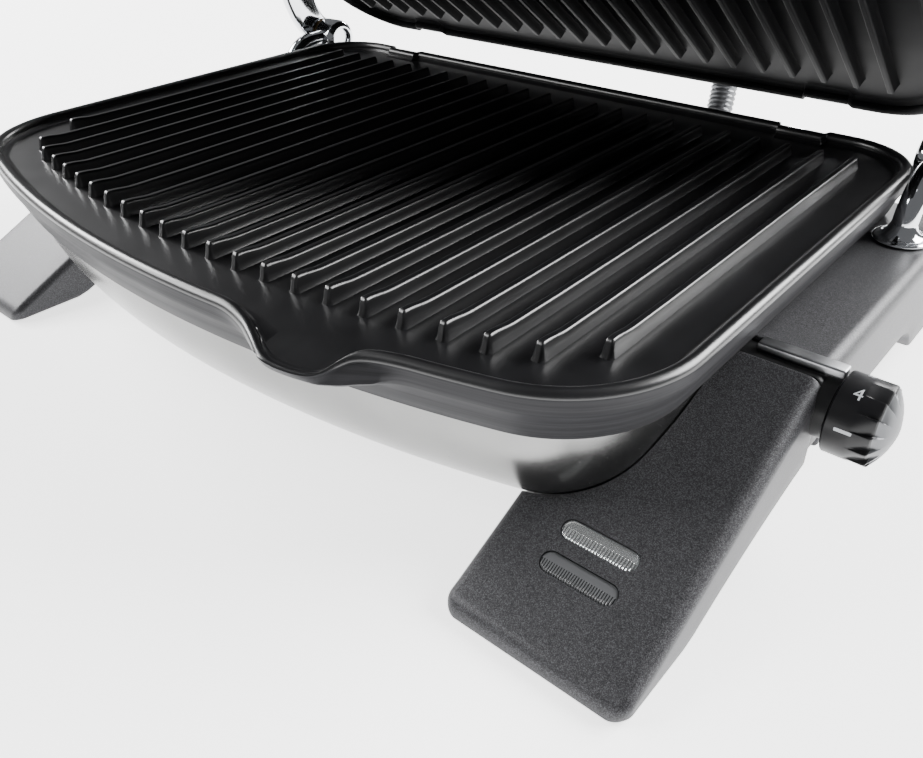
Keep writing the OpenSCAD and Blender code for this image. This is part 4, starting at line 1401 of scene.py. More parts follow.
# ---------------- side rails
@dataclass(frozen=True)
class SideView:
    """Side view of a rail: slope, nose, arch and rear end, all in the rib frame."""

    inner: float = 125.0
    outer: float = 184.0
    top: float = -20.0
    table: float = -72.0
    groove: float = -122.5
    band_back: float = -113.9
    tan_slope: float = 43.2 / 93
    reach: float = 221.4
    nose: float = 6.0
    rear: float = 38.0
    rear_round: float = 28.0
    rear_foot: float = 11.0
    front_foot: float = 0.8
    arch_y: float = -70.0
    arch_r: float = 310.0
    arch_height: float = 24.5
    arch_end: float = -40.0
    arch_end_r: float = 22.0

    @property
    def slope(self) -> float:
        """Returns the slope's angle in radians."""
        return math.atan(self.tan_slope)

    def slope_z(self, y: float) -> float:
        """Returns the sloping top's height at y."""
        return self.top - 1 + (y - self.groove) * self.tan_slope

    def front_top(self, y: float) -> float:
        """Works out the front leg's top, with the rounded nose.

        Args:
            y: Where to read it.

        Returns:
            Its height.
        """
        ny = self.nose - self.reach
        touch = ny - self.nose * math.sin(self.slope)
        nz = self.slope_z(touch) - self.nose * math.cos(self.slope)
        if y > touch:
            return self.slope_z(y)
        return nz + math.sqrt(max(self.nose**2 - (y - ny) ** 2, 0.0))

    def arch(self, y: float) -> float:
        """Works out the underside: the front foot, the arch and the rear foot.

        Args:
            y: Where to read it.

        Returns:
            Its height.
        """
        crown = self.table + self.arch_height
        if y < self.arch_y:
            z = crown - self.arch_r + math.sqrt(self.arch_r**2 - (y - self.arch_y) ** 2)
            return max(z, self.table + self.front_foot)
        if y < self.arch_end:
            return crown
        z = crown - self.arch_end_r + math.sqrt(max(self.arch_end_r**2 - (y - self.arch_end) ** 2, 0.0))
        return max(z, self.table + self.rear_foot)

    def rear_top(self, y: float) -> float:
        """Works out the rear leg's top, with its rounded back.

        Args:
            y: Where to read it.

        Returns:
            Its height.
        """
        past = y - (self.rear - self.rear_round)
        if past <= 0:
            return self.top
        return self.top - self.rear_round + math.sqrt(max(self.rear_round**2 - past**2, 0.0))

    def pill(self, half_long: float, half_wide: float, height: float, x: float, y: float) -> Ring:
        """Works out a pill outline square to the slope.

        Args:
            half_long: Half its length, along X.
            half_wide: Half its width, along the slope.
            height: Height over the slope.
            x: Where its middle lies.
            y: Where its middle lies.

        Returns:
            The ring.
        """
        flat = []
        for s, start in ((1, -90), (-1, 90)):
            flat += arc(s * (half_long - half_wide), 0.0, half_wide, start, start + 180, 20)
        up, level, z = math.sin(self.slope), math.cos(self.slope), self.slope_z(y)
        return [(x + p, y + q * level - height * up, z + q * up + height * level) for p, q in flat]


@dataclass(frozen=True)
class SideRails:
    """Moulded rails: front legs with the sloping top and rear legs, either side."""

    view: SideView = field(default_factory=SideView)
    shoulder_out: float = 5.0
    shoulder_in: float = 3.4
    foot: float = 1.5
    front_corner: float = 5.0
    front_fine: float = 46.0
    front_steps: int = 16
    rear_corner: float = 6.0
    rear_tuck: float = 4.5
    rear_steps: int = 40
    edge: float = 0.7
    gap: float = 0.4
    cut_top: float = 5.0
    window_x: float = 154.8
    windows: Point2 = (-189.2, -199.0)
    window_size: Point2 = (24.5, 6.6)
    window_reach: Point2 = (-6.5, 9.0)

    def ring(self, y: float, tuck: float, top: float, lift: float = 0.0) -> Ring:
        """Works out one station of a leg.

        Args:
            y: Where it lies.
            tuck: How far both sides are drawn in.
            top: Height of the top.
            lift: How far the underside is raised.

        Returns:
            The station's points.
        """
        v = self.view
        section = rounded_section(v.inner + tuck, v.outer - tuck, v.arch(y) + lift, top,
                                  self.shoulder_in, self.shoulder_out, self.foot)
        return [(x, y, z) for x, z in section]

    def end_rings(self, y: float, way: int, top: Callable[[float], float]) -> list[Ring]:
        """Works out the small rounded edge at a leg's flat end.

        Args:
            y: Where the flat end lies.
            way: 1 where the leg goes on toward +Y, else -1.
            top: Gives the top's height.

        Returns:
            The stations, from the flat end inward.
        """
        rings = []
        for turned in range(5):
            s = math.radians(22.5 * turned)
            inset, along = self.edge * (1 - math.sin(s)), y + way * self.edge * (1 - math.cos(s))
            rings.append(self.ring(along, inset, top(along) - inset, inset))
        return rings

    def front_rings(self) -> list[Ring]:
        """Returns the front leg's stations from the nose back to the groove."""
        v, corner = self.view, self.front_corner
        start, after = -v.reach, -v.reach + self.front_fine
        ys = [start + corner * (1 - math.cos(math.radians(a))) for a in range(0, 91, 6)]
        ys += [start + corner + t for t in (3, 6, 10, 15, 20, 25, 30)]
        ys += [after + (v.groove - 2 - after) * i / self.front_steps for i in range(self.front_steps + 1)]
        rings = []
        for y in ys:
            into = min(max(y - start, 0.0), corner)
            rings.append(self.ring(y, corner - math.sqrt(corner**2 - (corner - into) ** 2), v.front_top(y)))
        return rings + self.end_rings(v.groove, -1, v.front_top)[::-1]

    def rear_rings(self) -> list[Ring]:
        """Returns the rear leg's stations from the seam to the rounded back."""
        v, corner = self.view, self.rear_corner
        start, turn_y = v.band_back + 2, v.rear - v.rear_round
        ys = [start + (turn_y - start) * i / self.rear_steps for i in range(self.rear_steps + 1)]
        ys += [turn_y + (v.rear_round - 1.5) * math.sin(math.radians(a)) for a in range(7, 91, 7)]
        last = max(ys)
        ys += [last + corner / 4 * math.sin(math.radians(a)) for a in (30, 60, 90)]
        rings = self.end_rings(v.band_back, 1, v.rear_top)
        for y in ys:
            into = max(0.0, y - (v.rear - corner))
            tuck = corner - math.sqrt(max(corner**2 - into**2, 0.0))
            rings.append(self.ring(min(y, v.rear - 0.02), min(tuck, self.rear_tuck), v.rear_top(y)))
        return rings

    def bowl_cutter(self) -> MeshMaker:
        """Returns the space that the bowl and the plate take out of the rails."""
        cutter, shell = MeshMaker(), SteelShell()
        room = shell.quarter(shell.radius + self.gap, 26) + [(self.gap, self.cut_top)]
        sweep(cutter, BOWL.spots(60, 26), lambda spot: room)
        return cutter

    def window_cutter(self, y: float) -> MeshMaker:
        """Works out the cutter for one lamp window, square to the slope.

        Args:
            y: The window's middle.

        Returns:
            The cutter.
        """
        long, wide = self.window_size
        cutter = MeshMaker()
        cutter.loft([self.view.pill(long / 2, wide / 2, h, self.window_x, y) for h in self.window_reach])
        return cutter

    def build(self) -> None:
        """Builds the four legs."""
        for side, mirrored in SIDES:
            for part, rings in (("front", self.front_rings()), ("rear", self.rear_rings())):
                maker = MeshMaker()
                maker.loft(rings)
                leg = maker.piece(f"{part}_leg_{side}", Body.BASE, FINISHES.rail, mirrored=mirrored,
                                  sharp_deg=35)
                boolean_cut(leg, self.bowl_cutter())
                if part == "front" and not mirrored:
                    for y in self.windows:
                        boolean_cut(leg, self.window_cutter(y))


@dataclass(frozen=True)
class Lamps:
    """Two pill lenses with reflector trays and neon tubes under them.

    Lens and tray profiles give how far a ring is drawn in and how high it lies over the slope.
    """

    rails: SideRails = field(default_factory=SideRails)
    clearance: float = 0.1
    tube_deep: float = 4.25
    lens: Profile = ((0.0, -2.0), (0.0, -0.85), (0.12, -0.6), (0.4, -0.42), (0.9, -0.3), (1.6, -0.22),
                     (2.4, -0.2))
    tray_wall: Profile = ((0.0, -2.2), (0.0, -6.3))
    tray_dish: Profile = ((0.0, -2.2), (0.35, -2.2), (0.5, -3.6), (1.0, -4.6), (1.8, -5.2), (2.6, -5.4))
    tube: Profile = ((-8.0, 0.0), (-7.6, 0.9), (-6.8, 1.3), (6.8, 1.3), (7.6, 0.9), (8.0, 0.0))

    def stack(self, profile: Sequence[Point2], y: float) -> list[Ring]:
        """Works out the rings of a pill-shaped piece in its window.

        Args:
            profile: How far each ring is drawn in and how high it lies.
            y: The window's middle.

        Returns:
            The rings.
        """
        half_long, half_wide = (size / 2 - self.clearance for size in self.rails.window_size)
        view, x = self.rails.view, self.rails.window_x
        return [view.pill(half_long - inset, max(half_wide - inset, 0.3), h, x, y) for inset, h in profile]

    def build(self) -> None:
        """Builds lenses, trays and tubes."""
        view = self.rails.view
        trays, tubes = MeshMaker(), MeshMaker()
        for name, y, finish in zip(("power_lens", "ready_lens"), self.rails.windows,
                                   (FINISHES.lens, FINISHES.smoked)):
            maker = MeshMaker()
            maker.loft(self.stack(self.lens, y))
            maker.piece(name, Body.BASE, finish, sharp_deg=30)
            for profile in (self.tray_wall, self.tray_dish):
                trays.loft(self.stack(profile, y), caps=(False, True))
            middle = (self.rails.window_x, y + self.tube_deep * math.sin(view.slope),
                      view.slope_z(y) - self.tube_deep * math.cos(view.slope))
            tubes.lathe(self.tube, middle, Axis.X, 20)
        trays.piece("lamp_trays", Body.BASE, FINISHES.chrome, sharp_deg=50)
        tubes.piece("lamp_tubes", Body.BASE, FINISHES.neon)


# ---------------- control
@dataclass(frozen=True)
class Control:
    """Black seam block with its collar, the pointer bar and the thermostat knob with its marks.

    Rows of the knob give the distance from its back face and the radius; marks give the numeral and
    its angle forward of the top.
    """

    y: float = -119.0
    z: float = -31.4
    radius: float = 12.4
    face: float = 187.9
    grips: int = 14
    sides_per_grip: int = 24
    grip_start: float = 7.2
    grip_run: float = 5.4
    grip_depth: float = 2.0
    grip_edge: float = 0.06
    grip_land: float = 1.08
    crown_start: float = 13.3
    crown_smooth: float = 8.5
    crown_run: float = 3.0
    band: Profile = ((0.0, 0.0), (0.0, 11.7), (0.2, 12.15), (0.55, 12.4), (4.0, 12.4), (6.8, 12.4),
                     (7.3, 12.4), (8.2, 12.4), (9.5, 12.4), (11.0, 12.4), (12.2, 12.38), (12.7, 12.25),
                     (12.95, 11.95))
    crown: Profile = ((13.1, 11.6), (13.5, 11.0), (14.3, 9.7), (15.2, 8.0), (16.0, 6.0), (16.6, 3.8),
                      (17.0, 1.9), (17.08, 0.0))
    seam_x: Point2 = (150.0, 183.6)
    seam_y: Profile = ((-122.4, 0.5), (-122.25, 0.15), (-121.9, 0.0), (-114.5, 0.0), (-114.15, 0.15),
                       (-114.0, 0.5))
    seam_z: Point2 = (-47.0, -21.4)
    seam_radii: Point3 = (2.0, 3.0, 1.0)
    collar: Profile = ((183.0, 0.0), (183.0, 9.4), (187.2, 9.4), (187.5, 9.1), (187.5, 0.0))
    bar_x: Point2 = (161.5, 187.5)
    bar_y: Point2 = (-119.0, -114.0)
    bar_z: Point2 = (-21.6, -18.65)
    bar_end: Profile = ((0.0, 0.6), (0.18, 0.18), (0.6, 0.0))
    bar_radii: Point3 = (0.7, 0.7, 0.5)
    marks: tuple[tuple[str, float], ...] = (("4", 27.6), ("3", -25.0), ("2", -77.5), ("1", -130.0))
    dash: float = 80.0
    dash_half: Point2 = (2.4, 0.5)
    mark_x: float = 193.4
    numeral: float = 5.52
    ink: float = 0.03

    def build(self) -> None:
        """Builds the whole control group."""
        self.seams()
        self.bar()
        self.turned_knob()
        for number, (text, angle) in enumerate(self.marks):
            self.printed(f"knob_mark_{number}", self.glyph(text), angle)
        self.printed("knob_mark_dash", self.stroke(), self.dash)

    def seams(self) -> None:
        """Builds the seam blocks, the right one with the collar."""
        (x0, x1), (z0, z1) = self.seam_x, self.seam_z
        for name, mirrored in (("control_collar", False), ("seam_band_left", True)):
            maker = MeshMaker()
            rings = []
            for y, e in self.seam_y:
                section = rounded_section(x0 + e, x1 - e, z0 + e, z1 - e, *self.seam_radii)
                rings.append([(x, y, z) for x, z in section])
            maker.loft(rings)
            if not mirrored:
                maker.lathe(self.collar, (0, self.y, self.z), Axis.X, 72)
            maker.piece(name, Body.BASE, FINISHES.black, mirrored=mirrored, sharp_deg=35)

    def bar(self) -> None:
        """Builds the satin pointer bar."""
        (x0, x1), (y0, y1), (z0, z1) = self.bar_x, self.bar_y, self.bar_z
        maker = MeshMaker()
        rings = []
        for x, e in [(x0 + t, e) for t, e in self.bar_end] + [(x1 - t, e) for t, e in self.bar_end[::-1]]:
            section = rounded_section(y0 + e, y1 - e, z0 + e, z1 - e, *self.bar_radii)
            rings.append([(x, y, z) for y, z in section])
        maker.loft(rings)
        maker.piece("pointer_bar", Body.BASE, FINISHES.pointer)

    def grip_cut(self, along: float, radius: float, turned: float) -> float:
        """Works out how deep a stepped grip cuts into the knob.

        Args:
            along: Distance from the knob's back face.
            radius: Radius before the cut.
            turned: Share of a full turn, 0 to 1.

        Returns:
            The depth.
        """
        part = (turned * self.grips) % 1.0
        if along < self.crown_start:
            reach = min(max((along - self.grip_start) / self.grip_run, 0.0), 1.0)
        else:
            reach = max(0.0, (radius - self.crown_smooth) / self.crown_run)
        step = max(0.0, 1 - part * self.grip_land) * smooth_step(part / self.grip_edge)
        return self.grip_depth * reach * step

    def turned_knob(self) -> None:
        """Builds the knob with stepped grips and a satin domed cap."""
        maker = MeshMaker()
        sides = self.sides_per_grip * self.grips
        rings = []
        for along, radius in self.band + self.crown:
            ring = []
            for i in range(sides):
                a = 2 * math.pi * i / sides
                r = max(radius - self.grip_cut(along, radius, i / sides), 0.001)
                ring.append((self.face + along, self.y + r * math.sin(a), self.z + r * math.cos(a)))
            rings.append(ring)
        maker.loft(rings, [0] * len(self.band) + [1] * (len(self.crown) - 1))
        maker.piece("knob", Body.KNOB, FINISHES.knob, FINISHES.dome, sharp_deg=28)

    def glyph(self, text: str) -> bpy.types.Mesh:
        """Draws a numeral.

        Args:
            text: The numeral.

        Returns:
            A flat mesh in millimetres.
        """
        curve = bpy.data.curves.new("numeral", "FONT")
        curve.body, curve.size, curve.align_x, curve.align_y = text, self.numeral, "CENTER", "CENTER"
        holder = linked("numeral", curve)
        mesh = evaluated_mesh(holder)
        bpy.data.objects.remove(holder)
        return mesh

    def stroke(self) -> bpy.types.Mesh:
        """Returns the off dash as a flat rounded bar in millimetres."""
        mesh = bpy.data.meshes.new("dash")
        long, wide = self.dash_half
        ring = rounded_rectangle(-long, long, -wide, wide, wide / 2, 4)
        mesh.from_pydata([(x, y, 0.0) for x, y in ring], [], [tuple(range(len(ring)))])
        return mesh

    def printed(self, name: str, mesh: bpy.types.Mesh, angle: float) -> None:
        """Prints one mark round the knob's smooth band.

        Args:
            name: Piece name.
            mesh: Flat mark, its top toward +Y.
            angle: Degrees forward of the top.
        """
        work = bmesh.new()
        work.from_mesh(mesh)
        bmesh.ops.triangulate(work, faces=work.faces)
        longest, rounds = 0.4, 5
        for _ in range(rounds):
            long = [e for e in work.edges if e.calc_length() > longest]
            bmesh.ops.subdivide_edges(work, edges=long, cuts=1)
            bmesh.ops.triangulate(work, faces=work.faces)
        radius = self.radius + self.ink
        for vert in work.verts:
            a = math.radians(angle) - vert.co.y / radius
            across, up = radius * math.sin(a), radius * math.cos(a)
            vert.co = (self.mark_x + vert.co.x, self.y - across, self.z + up)
        work.to_mesh(mesh)
        work.free()
        mesh.transform(Body.KNOB.matrix())
        mesh.name = name
        mesh.materials.clear()
        mesh.materials.append(FINISHES.mark.material())
        settle(linked(name, mesh), Body.KNOB)


# ---------------- hinge posts, handle and pins
@dataclass(frozen=True)
class HingePosts:
    """Chrome posts: a flanged foot on the rail, a bent stem and a turned boss; and the rear pins."""

    x: float = 170.0
    y: float = -18.0
    hinge_y: float = 16.0
    top: float = -20.0
    stem: float = 4.5
    stem_top: float = 1.0
    bend: float = 18.0
    boss_x: Point2 = (161.0, 174.7)
    pin_place: Point3 = (0, 12.0, -23.0)
    flange: Profile = ((0.05, 0.0), (0.05, 9.5), (0.25, 9.85), (0.6, 10.0), (1.0, 9.95), (1.35, 9.6),
                       (1.55, 9.0), (1.7, 8.2), (2.0, 7.3), (2.6, 6.5), (3.5, 5.7), (4.8, 5.0), (6.2, 4.55),
                       (6.5, 0.0))
    boss_in: Profile = ((2.5, 0.0), (2.5, 5.4), (0.4, 6.0), (0.05, 6.4), (0.0, 6.8), (0.05, 7.2),
                        (0.35, 7.9), (0.95, 8.75), (1.7, 9.4), (2.6, 9.85), (3.6, 10.0))
    boss_out: Profile = ((-1.4, 10.0), (-0.7, 9.85), (-0.2, 9.4), (0.0, 8.7), (0.0, 0.0))
    pin: Profile = ((126.0, 0.0), (126.0, 2.1), (126.4, 2.55), (127.0, 2.7), (164.4, 2.7), (165.0, 0.0))

    def stem_path(self) -> Ring:
        """Returns the stem's middle line: up from the foot, round the bend and back to the boss."""
        path = [(self.x, self.y, self.top + 0.5 + rise) for rise in (0.0, 1.0, 2.0)]
        centre_y, centre_z = self.y + self.bend, self.stem_top - self.bend
        for i in range(17):
            a = math.pi / 2 * i / 16
            path.append((self.x, centre_y - self.bend * math.cos(a), centre_z + self.bend * math.sin(a)))
        return path + [(self.x, centre_y + t, self.stem_top) for t in (3, 6, 9)]

    def build(self) -> None:
        """Builds both posts and the pins."""
        a, b = self.boss_x
        boss = [(a + t, r) for t, r in self.boss_in] + [(b + t, r) for t, r in self.boss_out]
        for side, mirrored in SIDES:
            maker = MeshMaker()
            maker.lathe([(self.top + h, r) for h, r in self.flange], (self.x, self.y, 0), Axis.Z, 64)
            maker.tube(self.stem_path(), self.stem, 40)
            maker.lathe(boss, (0, self.hinge_y, 0), Axis.X, 72)
            maker.piece(f"hinge_post_{side}", Body.BASE, FINISHES.chrome, mirrored=mirrored, sharp_deg=50)
        pins = MeshMaker()
        pins.turned_pair(self.pin, self.pin_place, 32)
        pins.piece("rear_pins", Body.BASE, FINISHES.chrome)


@dataclass(frozen=True)
class HandleFrame:
    """Two flat bowed arms, a cross grip with ferrules, and the pins of both joints.

    Half widths along an arm go from the hinge to the lid pivot and on to the grip; eyes give the centre
    and radius of its round ends and of the swelling at the pivot. Turned profiles are (distance, radius).
    """

    hinge: Point2 = POSTURE.hinge
    pivot: Point2 = POSTURE.pivot
    grip: Point2 = (-252.0, 34.0)
    arm_x: float = 176.1
    thick: float = 5.4
    edge: float = 1.3
    widths: Point3 = (7.5, 13.5, 8.5)
    eyes: Point3 = (9.9, 14.2, 10.9)
    neck_steps: int = 40
    reach_steps: int = 60
    ferrule: float = 16.0
    play: float = 0.05
    grip_end: Profile = ((0.0, 0.0), (0.0, 10.2), (0.4, 10.8), (1.2, 11.0))
    ferrule_in: Profile = ((0.02, 0.0), (0.02, 9.6), (0.4, 10.2), (1.4, 10.4), (3.0, 10.4), (3.3, 10.0),
                           (3.8, 10.0), (4.1, 10.4))
    ferrule_out: Profile = ((-1.0, 10.4), (-0.2, 10.1), (0.0, 9.6), (0.0, 0.0))
    pivot_shank: Profile = ((158.0, 0.0), (158.0, 4.6), (158.5, 5.0), (181.5, 5.0))
    pivot_head: Profile = ((0.02, 8.8), (0.5, 9.0), (1.3, 8.9), (2.0, 8.2), (2.35, 6.8), (2.4, 4.0),
                           (2.4, 0.0))
    hinge_shank: Profile = ((165.0, 0.0), (165.0, 4.0), (181.5, 4.0))
    hinge_head: Profile = ((0.02, 7.2), (0.5, 7.5), (1.2, 7.3), (1.8, 6.4), (2.0, 4.5), (2.0, 0.0))
    washer: Profile = ((174.9, 4.05), (174.9, 9.3), (175.1, 9.5), (175.85, 9.5), (176.05, 9.3),
                       (176.05, 4.05), (174.9, 4.05))

    def line(self) -> Outline:
        """Returns the arm's middle line in side view: a bowed neck, then a bowed reach to the grip."""
        (hy, hz), (py, pz), (gy, gz) = self.hinge, self.pivot, self.grip
        neck = (self.hinge, (hy - 30, hz - 6), (py + 22, pz - 22), self.pivot)
        reach = (self.pivot, (py - 46, pz + 24), (gy + 62, gz + 26), self.grip)
        points = [bezier(neck, i / self.neck_steps) for i in range(self.neck_steps)]
        return points + [bezier(reach, i / self.reach_steps) for i in range(self.reach_steps + 1)]

    def half_widths(self, line: Outline) -> list[float]:
        """Works out the arm's half width all along it, swelling smoothly round its eyes.

        Args:
            line: Its middle line.

        Returns:
            The half width at each point.
        """
        first, middle, last = self.widths
        half = [first + (middle - first) * i / self.neck_steps for i in range(self.neck_steps)]
        half += [middle + (last - middle) * i / self.reach_steps for i in range(self.reach_steps + 1)]
        for i, point in enumerate(line):
            for centre, radius in zip((self.hinge, self.pivot, self.grip), self.eyes):
                gone = math.dist(point, centre)
                if gone < radius:
                    half[i] = max(half[i], math.sqrt(radius**2 - gone**2))
        for _ in range(3):
            middle_part = [(a + 2 * b + c) / 4 for a, b, c in zip(half, half[1:], half[2:])]
            half = [half[0], *middle_part, half[-1]]
        return half

    def outline(self) -> Outline:
        """Returns the arm's side view, anticlockwise seen from +X."""
        line = self.line()
        halves = self.half_widths(line)
        upper, lower = [], []
        for i, ((y, z), half) in enumerate(zip(line, halves)):
            ay, az = line[max(i - 2, 0)]
            by, bz = line[min(i + 2, len(line) - 1)]
            size = math.hypot(by - ay, bz - az)
            ny, nz = (bz - az) / size * half, -(by - ay) / size * half
            upper.append((y + ny, z + nz))
            lower.append((y - ny, z - nz))
        head = self.round_end(line[0], line[2], halves[0])
        tail = self.round_end(line[-1], line[-3], halves[-1])
        return head + upper[1:-1] + tail + lower[-2:0:-1]

    @staticmethod
    def round_end(end: Point2, before: Point2, radius: float) -> Outline:
        """Works out the round end beyond a point.

        Args:
            end: Centre of the round end.
            before: A point further in.
            radius: Its radius.

        Returns:
            The half circle, anticlockwise.
        """
        way = math.atan2(end[1] - before[1], end[0] - before[0])
        angles = [way - math.pi / 2 + math.pi * i / 24 for i in range(25)]
        return [(end[0] + radius * math.cos(a), end[1] + radius * math.sin(a)) for a in angles]

    def build(self) -> None:
        """Builds arms, grip, ferrules and pins."""
        ring = self.outline()
        for side, mirrored in SIDES:
            maker = MeshMaker()
            maker.slab(ring, self.arm_x, self.arm_x + self.thick, self.edge)
            maker.piece(f"handle_arm_{side}", Body.HANDLE, FINISHES.chrome, mirrored=mirrored)
        self.cross_grip()
        self.pins()

    def cross_grip(self) -> None:
        """Builds the grip and its two ferrules."""
        outer = self.arm_x - self.play
        inner = outer - self.ferrule
        grip = MeshMaker()
        start = [(t - inner, r) for t, r in self.grip_end]
        first, full = start[-1]
        run = [(first - 2 * first * i / 20, full) for i in range(1, 20)]
        grip.lathe(start + run + [(-a, r) for a, r in reversed(start)], (0, *self.grip), Axis.X, 64)
        grip.piece("handle_grip", Body.HANDLE, FINISHES.black)
        ferrules = MeshMaker()
        profile = [(inner + t, r) for t, r in self.ferrule_in]
        profile += [(outer + t, r) for t, r in self.ferrule_out]
        ferrules.turned_pair(profile, (0, *self.grip), 64)
        ferrules.piece("grip_ferrules", Body.HANDLE, FINISHES.chrome)

    def pins(self) -> None:
        """Builds the pins of the lid pivot and of the hinge, and the hinge washers."""
        end = self.arm_x + self.thick
        pivot = [*self.pivot_shank, *((end + t, r) for t, r in self.pivot_head)]
        hinge = [*self.hinge_shank, *((end + t, r) for t, r in self.hinge_head)]
        for name, profile, centre, sides, finish in (
                ("lid_pivot_pins", pivot, self.pivot, 64, FINISHES.chrome),
                ("hinge_pins", hinge, self.hinge, 56, FINISHES.chrome),
                ("hinge_washers", self.washer, self.hinge, 56, FINISHES.bronze)):
            maker = MeshMaker()
            maker.turned_pair(profile, (0, *centre), sides)
            maker.piece(name, Body.HANDLE, finish)


# ---------------- conduit
@dataclass(frozen=True)
class WoundConduit:
    """Strip-wound steel conduit from the base gland to the lid gland, ridged by its winding."""

    radius: float = 6.0
    ridge: float = 0.3
    pitch: float = 2.3
    sides: int = 28
    step: float = 0.29
    route: tuple[Point3, ...] = (
        (60, 21.1, -30), (60, 27, -30), (60, 36, -29.8), (59.5, 46, -27.5), (58.5, 56, -21),
        (57, 63.5, -11), (55.5, 68.5, 0), (54, 71, 11), (52.8, 70.3, 19.5), (52, 66.6, 24.2),
        (52, 62.6, 27), (52, 59.2, 29.3))
    route_steps: int = 12
    split_at: int = 78
    stiff_end: int = 4

    def sizes(self) -> dict[str, float]:
        """Returns the tree's inputs."""
        return {"Radius": self.radius, "Ridge": self.ridge, "Pitch": self.pitch}

    def tree(self) -> Tree:
        """Builds the tree: resample the line, ridge the radius along it, sweep a ring."""
        tree = new_geometry_tree("strip_wound_conduit", self.sizes(), takes_mesh=True)
        inputs = add_node(tree, "NodeGroupInput")
        radius, ridge, pitch = (Field(tree, inputs.outputs[name]) for name in self.sizes())
        line = add_node(tree, "GeometryNodeMeshToCurve", {0: inputs.outputs["Geometry"]})
        fine = add_node(tree, "GeometryNodeResampleCurve", {"Curve": line.outputs[0], "Length": self.step},
                        mode="LENGTH")
        along = Field(tree, add_node(tree, "GeometryNodeSplineParameter").outputs["Length"])
        sized = radius + ridge * (along * (2 * math.pi) / pitch).sine()
        shaped = add_node(tree, "GeometryNodeSetCurveRadius", {0: fine.outputs[0], "Radius": sized})
        ring = add_node(tree, "GeometryNodeCurvePrimitiveCircle", {"Resolution": self.sides, "Radius": 1.0})
        tube = add_node(tree, "GeometryNodeCurveToMesh",
                        {"Curve": shaped.outputs[0], "Profile Curve": ring.outputs[0], "Fill Caps": True,
                         "Scale": sized})
        real = add_node(tree, "GeometryNodeRealizeInstances", {0: tube.outputs[0]})
        end_tree(tree, real, FINISHES.conduit)
        return tree

    def line(self) -> list[Vector]:
        """Returns fine points along the route."""
        pts = [Vector(p) for p in self.route]
        out = []
        last = len(pts) - 1
        for i in range(last):
            a, b, c, d = pts[max(i - 1, 0)], pts[i], pts[i + 1], pts[min(i + 2, last)]
            for k in range(self.route_steps):
                t = k / self.route_steps
                out.append(0.5 * (2 * b + (c - a) * t + (2 * a - 5 * b + 4 * c - d) * t * t
                                  + (3 * b - a - 3 * c + d) * t**3))
        return out + [pts[-1]]

    def build(self) -> None:
        """Builds the conduit as two lengths, split partway along its route."""
        points, tree, place = self.line(), self.tree(), POSTURE.base()
        halves = (("conduit_lower", points[: self.split_at + 1], Body.BASE, Body.HANDLE),
                  ("conduit_upper", points[self.split_at - 1 :], Body.HANDLE, Body.LID))
        for name, run, first, second in halves:
            mesh = bpy.data.meshes.new(name)
            mesh.from_pydata([tuple(p) for p in run], [(i, i + 1) for i in range(len(run) - 1)], [])
            made = baked(linked(name, mesh), tree, self.sizes())
            made.data.transform(place)
            tuple(place @ run[self.stiff_end])
            tuple(place @ run[-self.stiff_end])
            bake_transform(made)
            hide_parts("conduit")
            LOG.info("piece %s: %d faces", name, len(made.data.polygons))


# ---------------- small fittings
@dataclass(frozen=True)
class Gland:
    """A screwed gland: where it sits, its size, its body and its finish."""

    name: str
    x: float
    radius: float
    bore: float
    end: float
    body: Body
    finish: Finish

    def build(self, z: float, nut: float = 13.0) -> None:
        """Builds the gland.

        Args:
            z: Height of its axis.
            nut: Where its nut starts, along Y.
        """
        r, end, bore = self.radius, self.end, self.bore
        profile = [(0.5, bore), (0.5, r - 2.1), (nut, r - 2.1), (nut, r - 0.3), (nut + 0.3, r)]
        profile += [(end - 3.2, r), (end - 2.6, r - 0.5), (end - 1.6, r - 0.5), (end - 1.2, r - 0.9),
                    (end - 0.4, r - 1.3), (end, r - 2.0), (end, bore + 0.4), (end - 0.4, bore), (0.5, bore)]
        maker = MeshMaker()
        maker.lathe(profile, (self.x, 0, z), Axis.Y, 56)
        maker.piece(self.name, self.body, self.finish, turned_over=self.body is Body.LID)


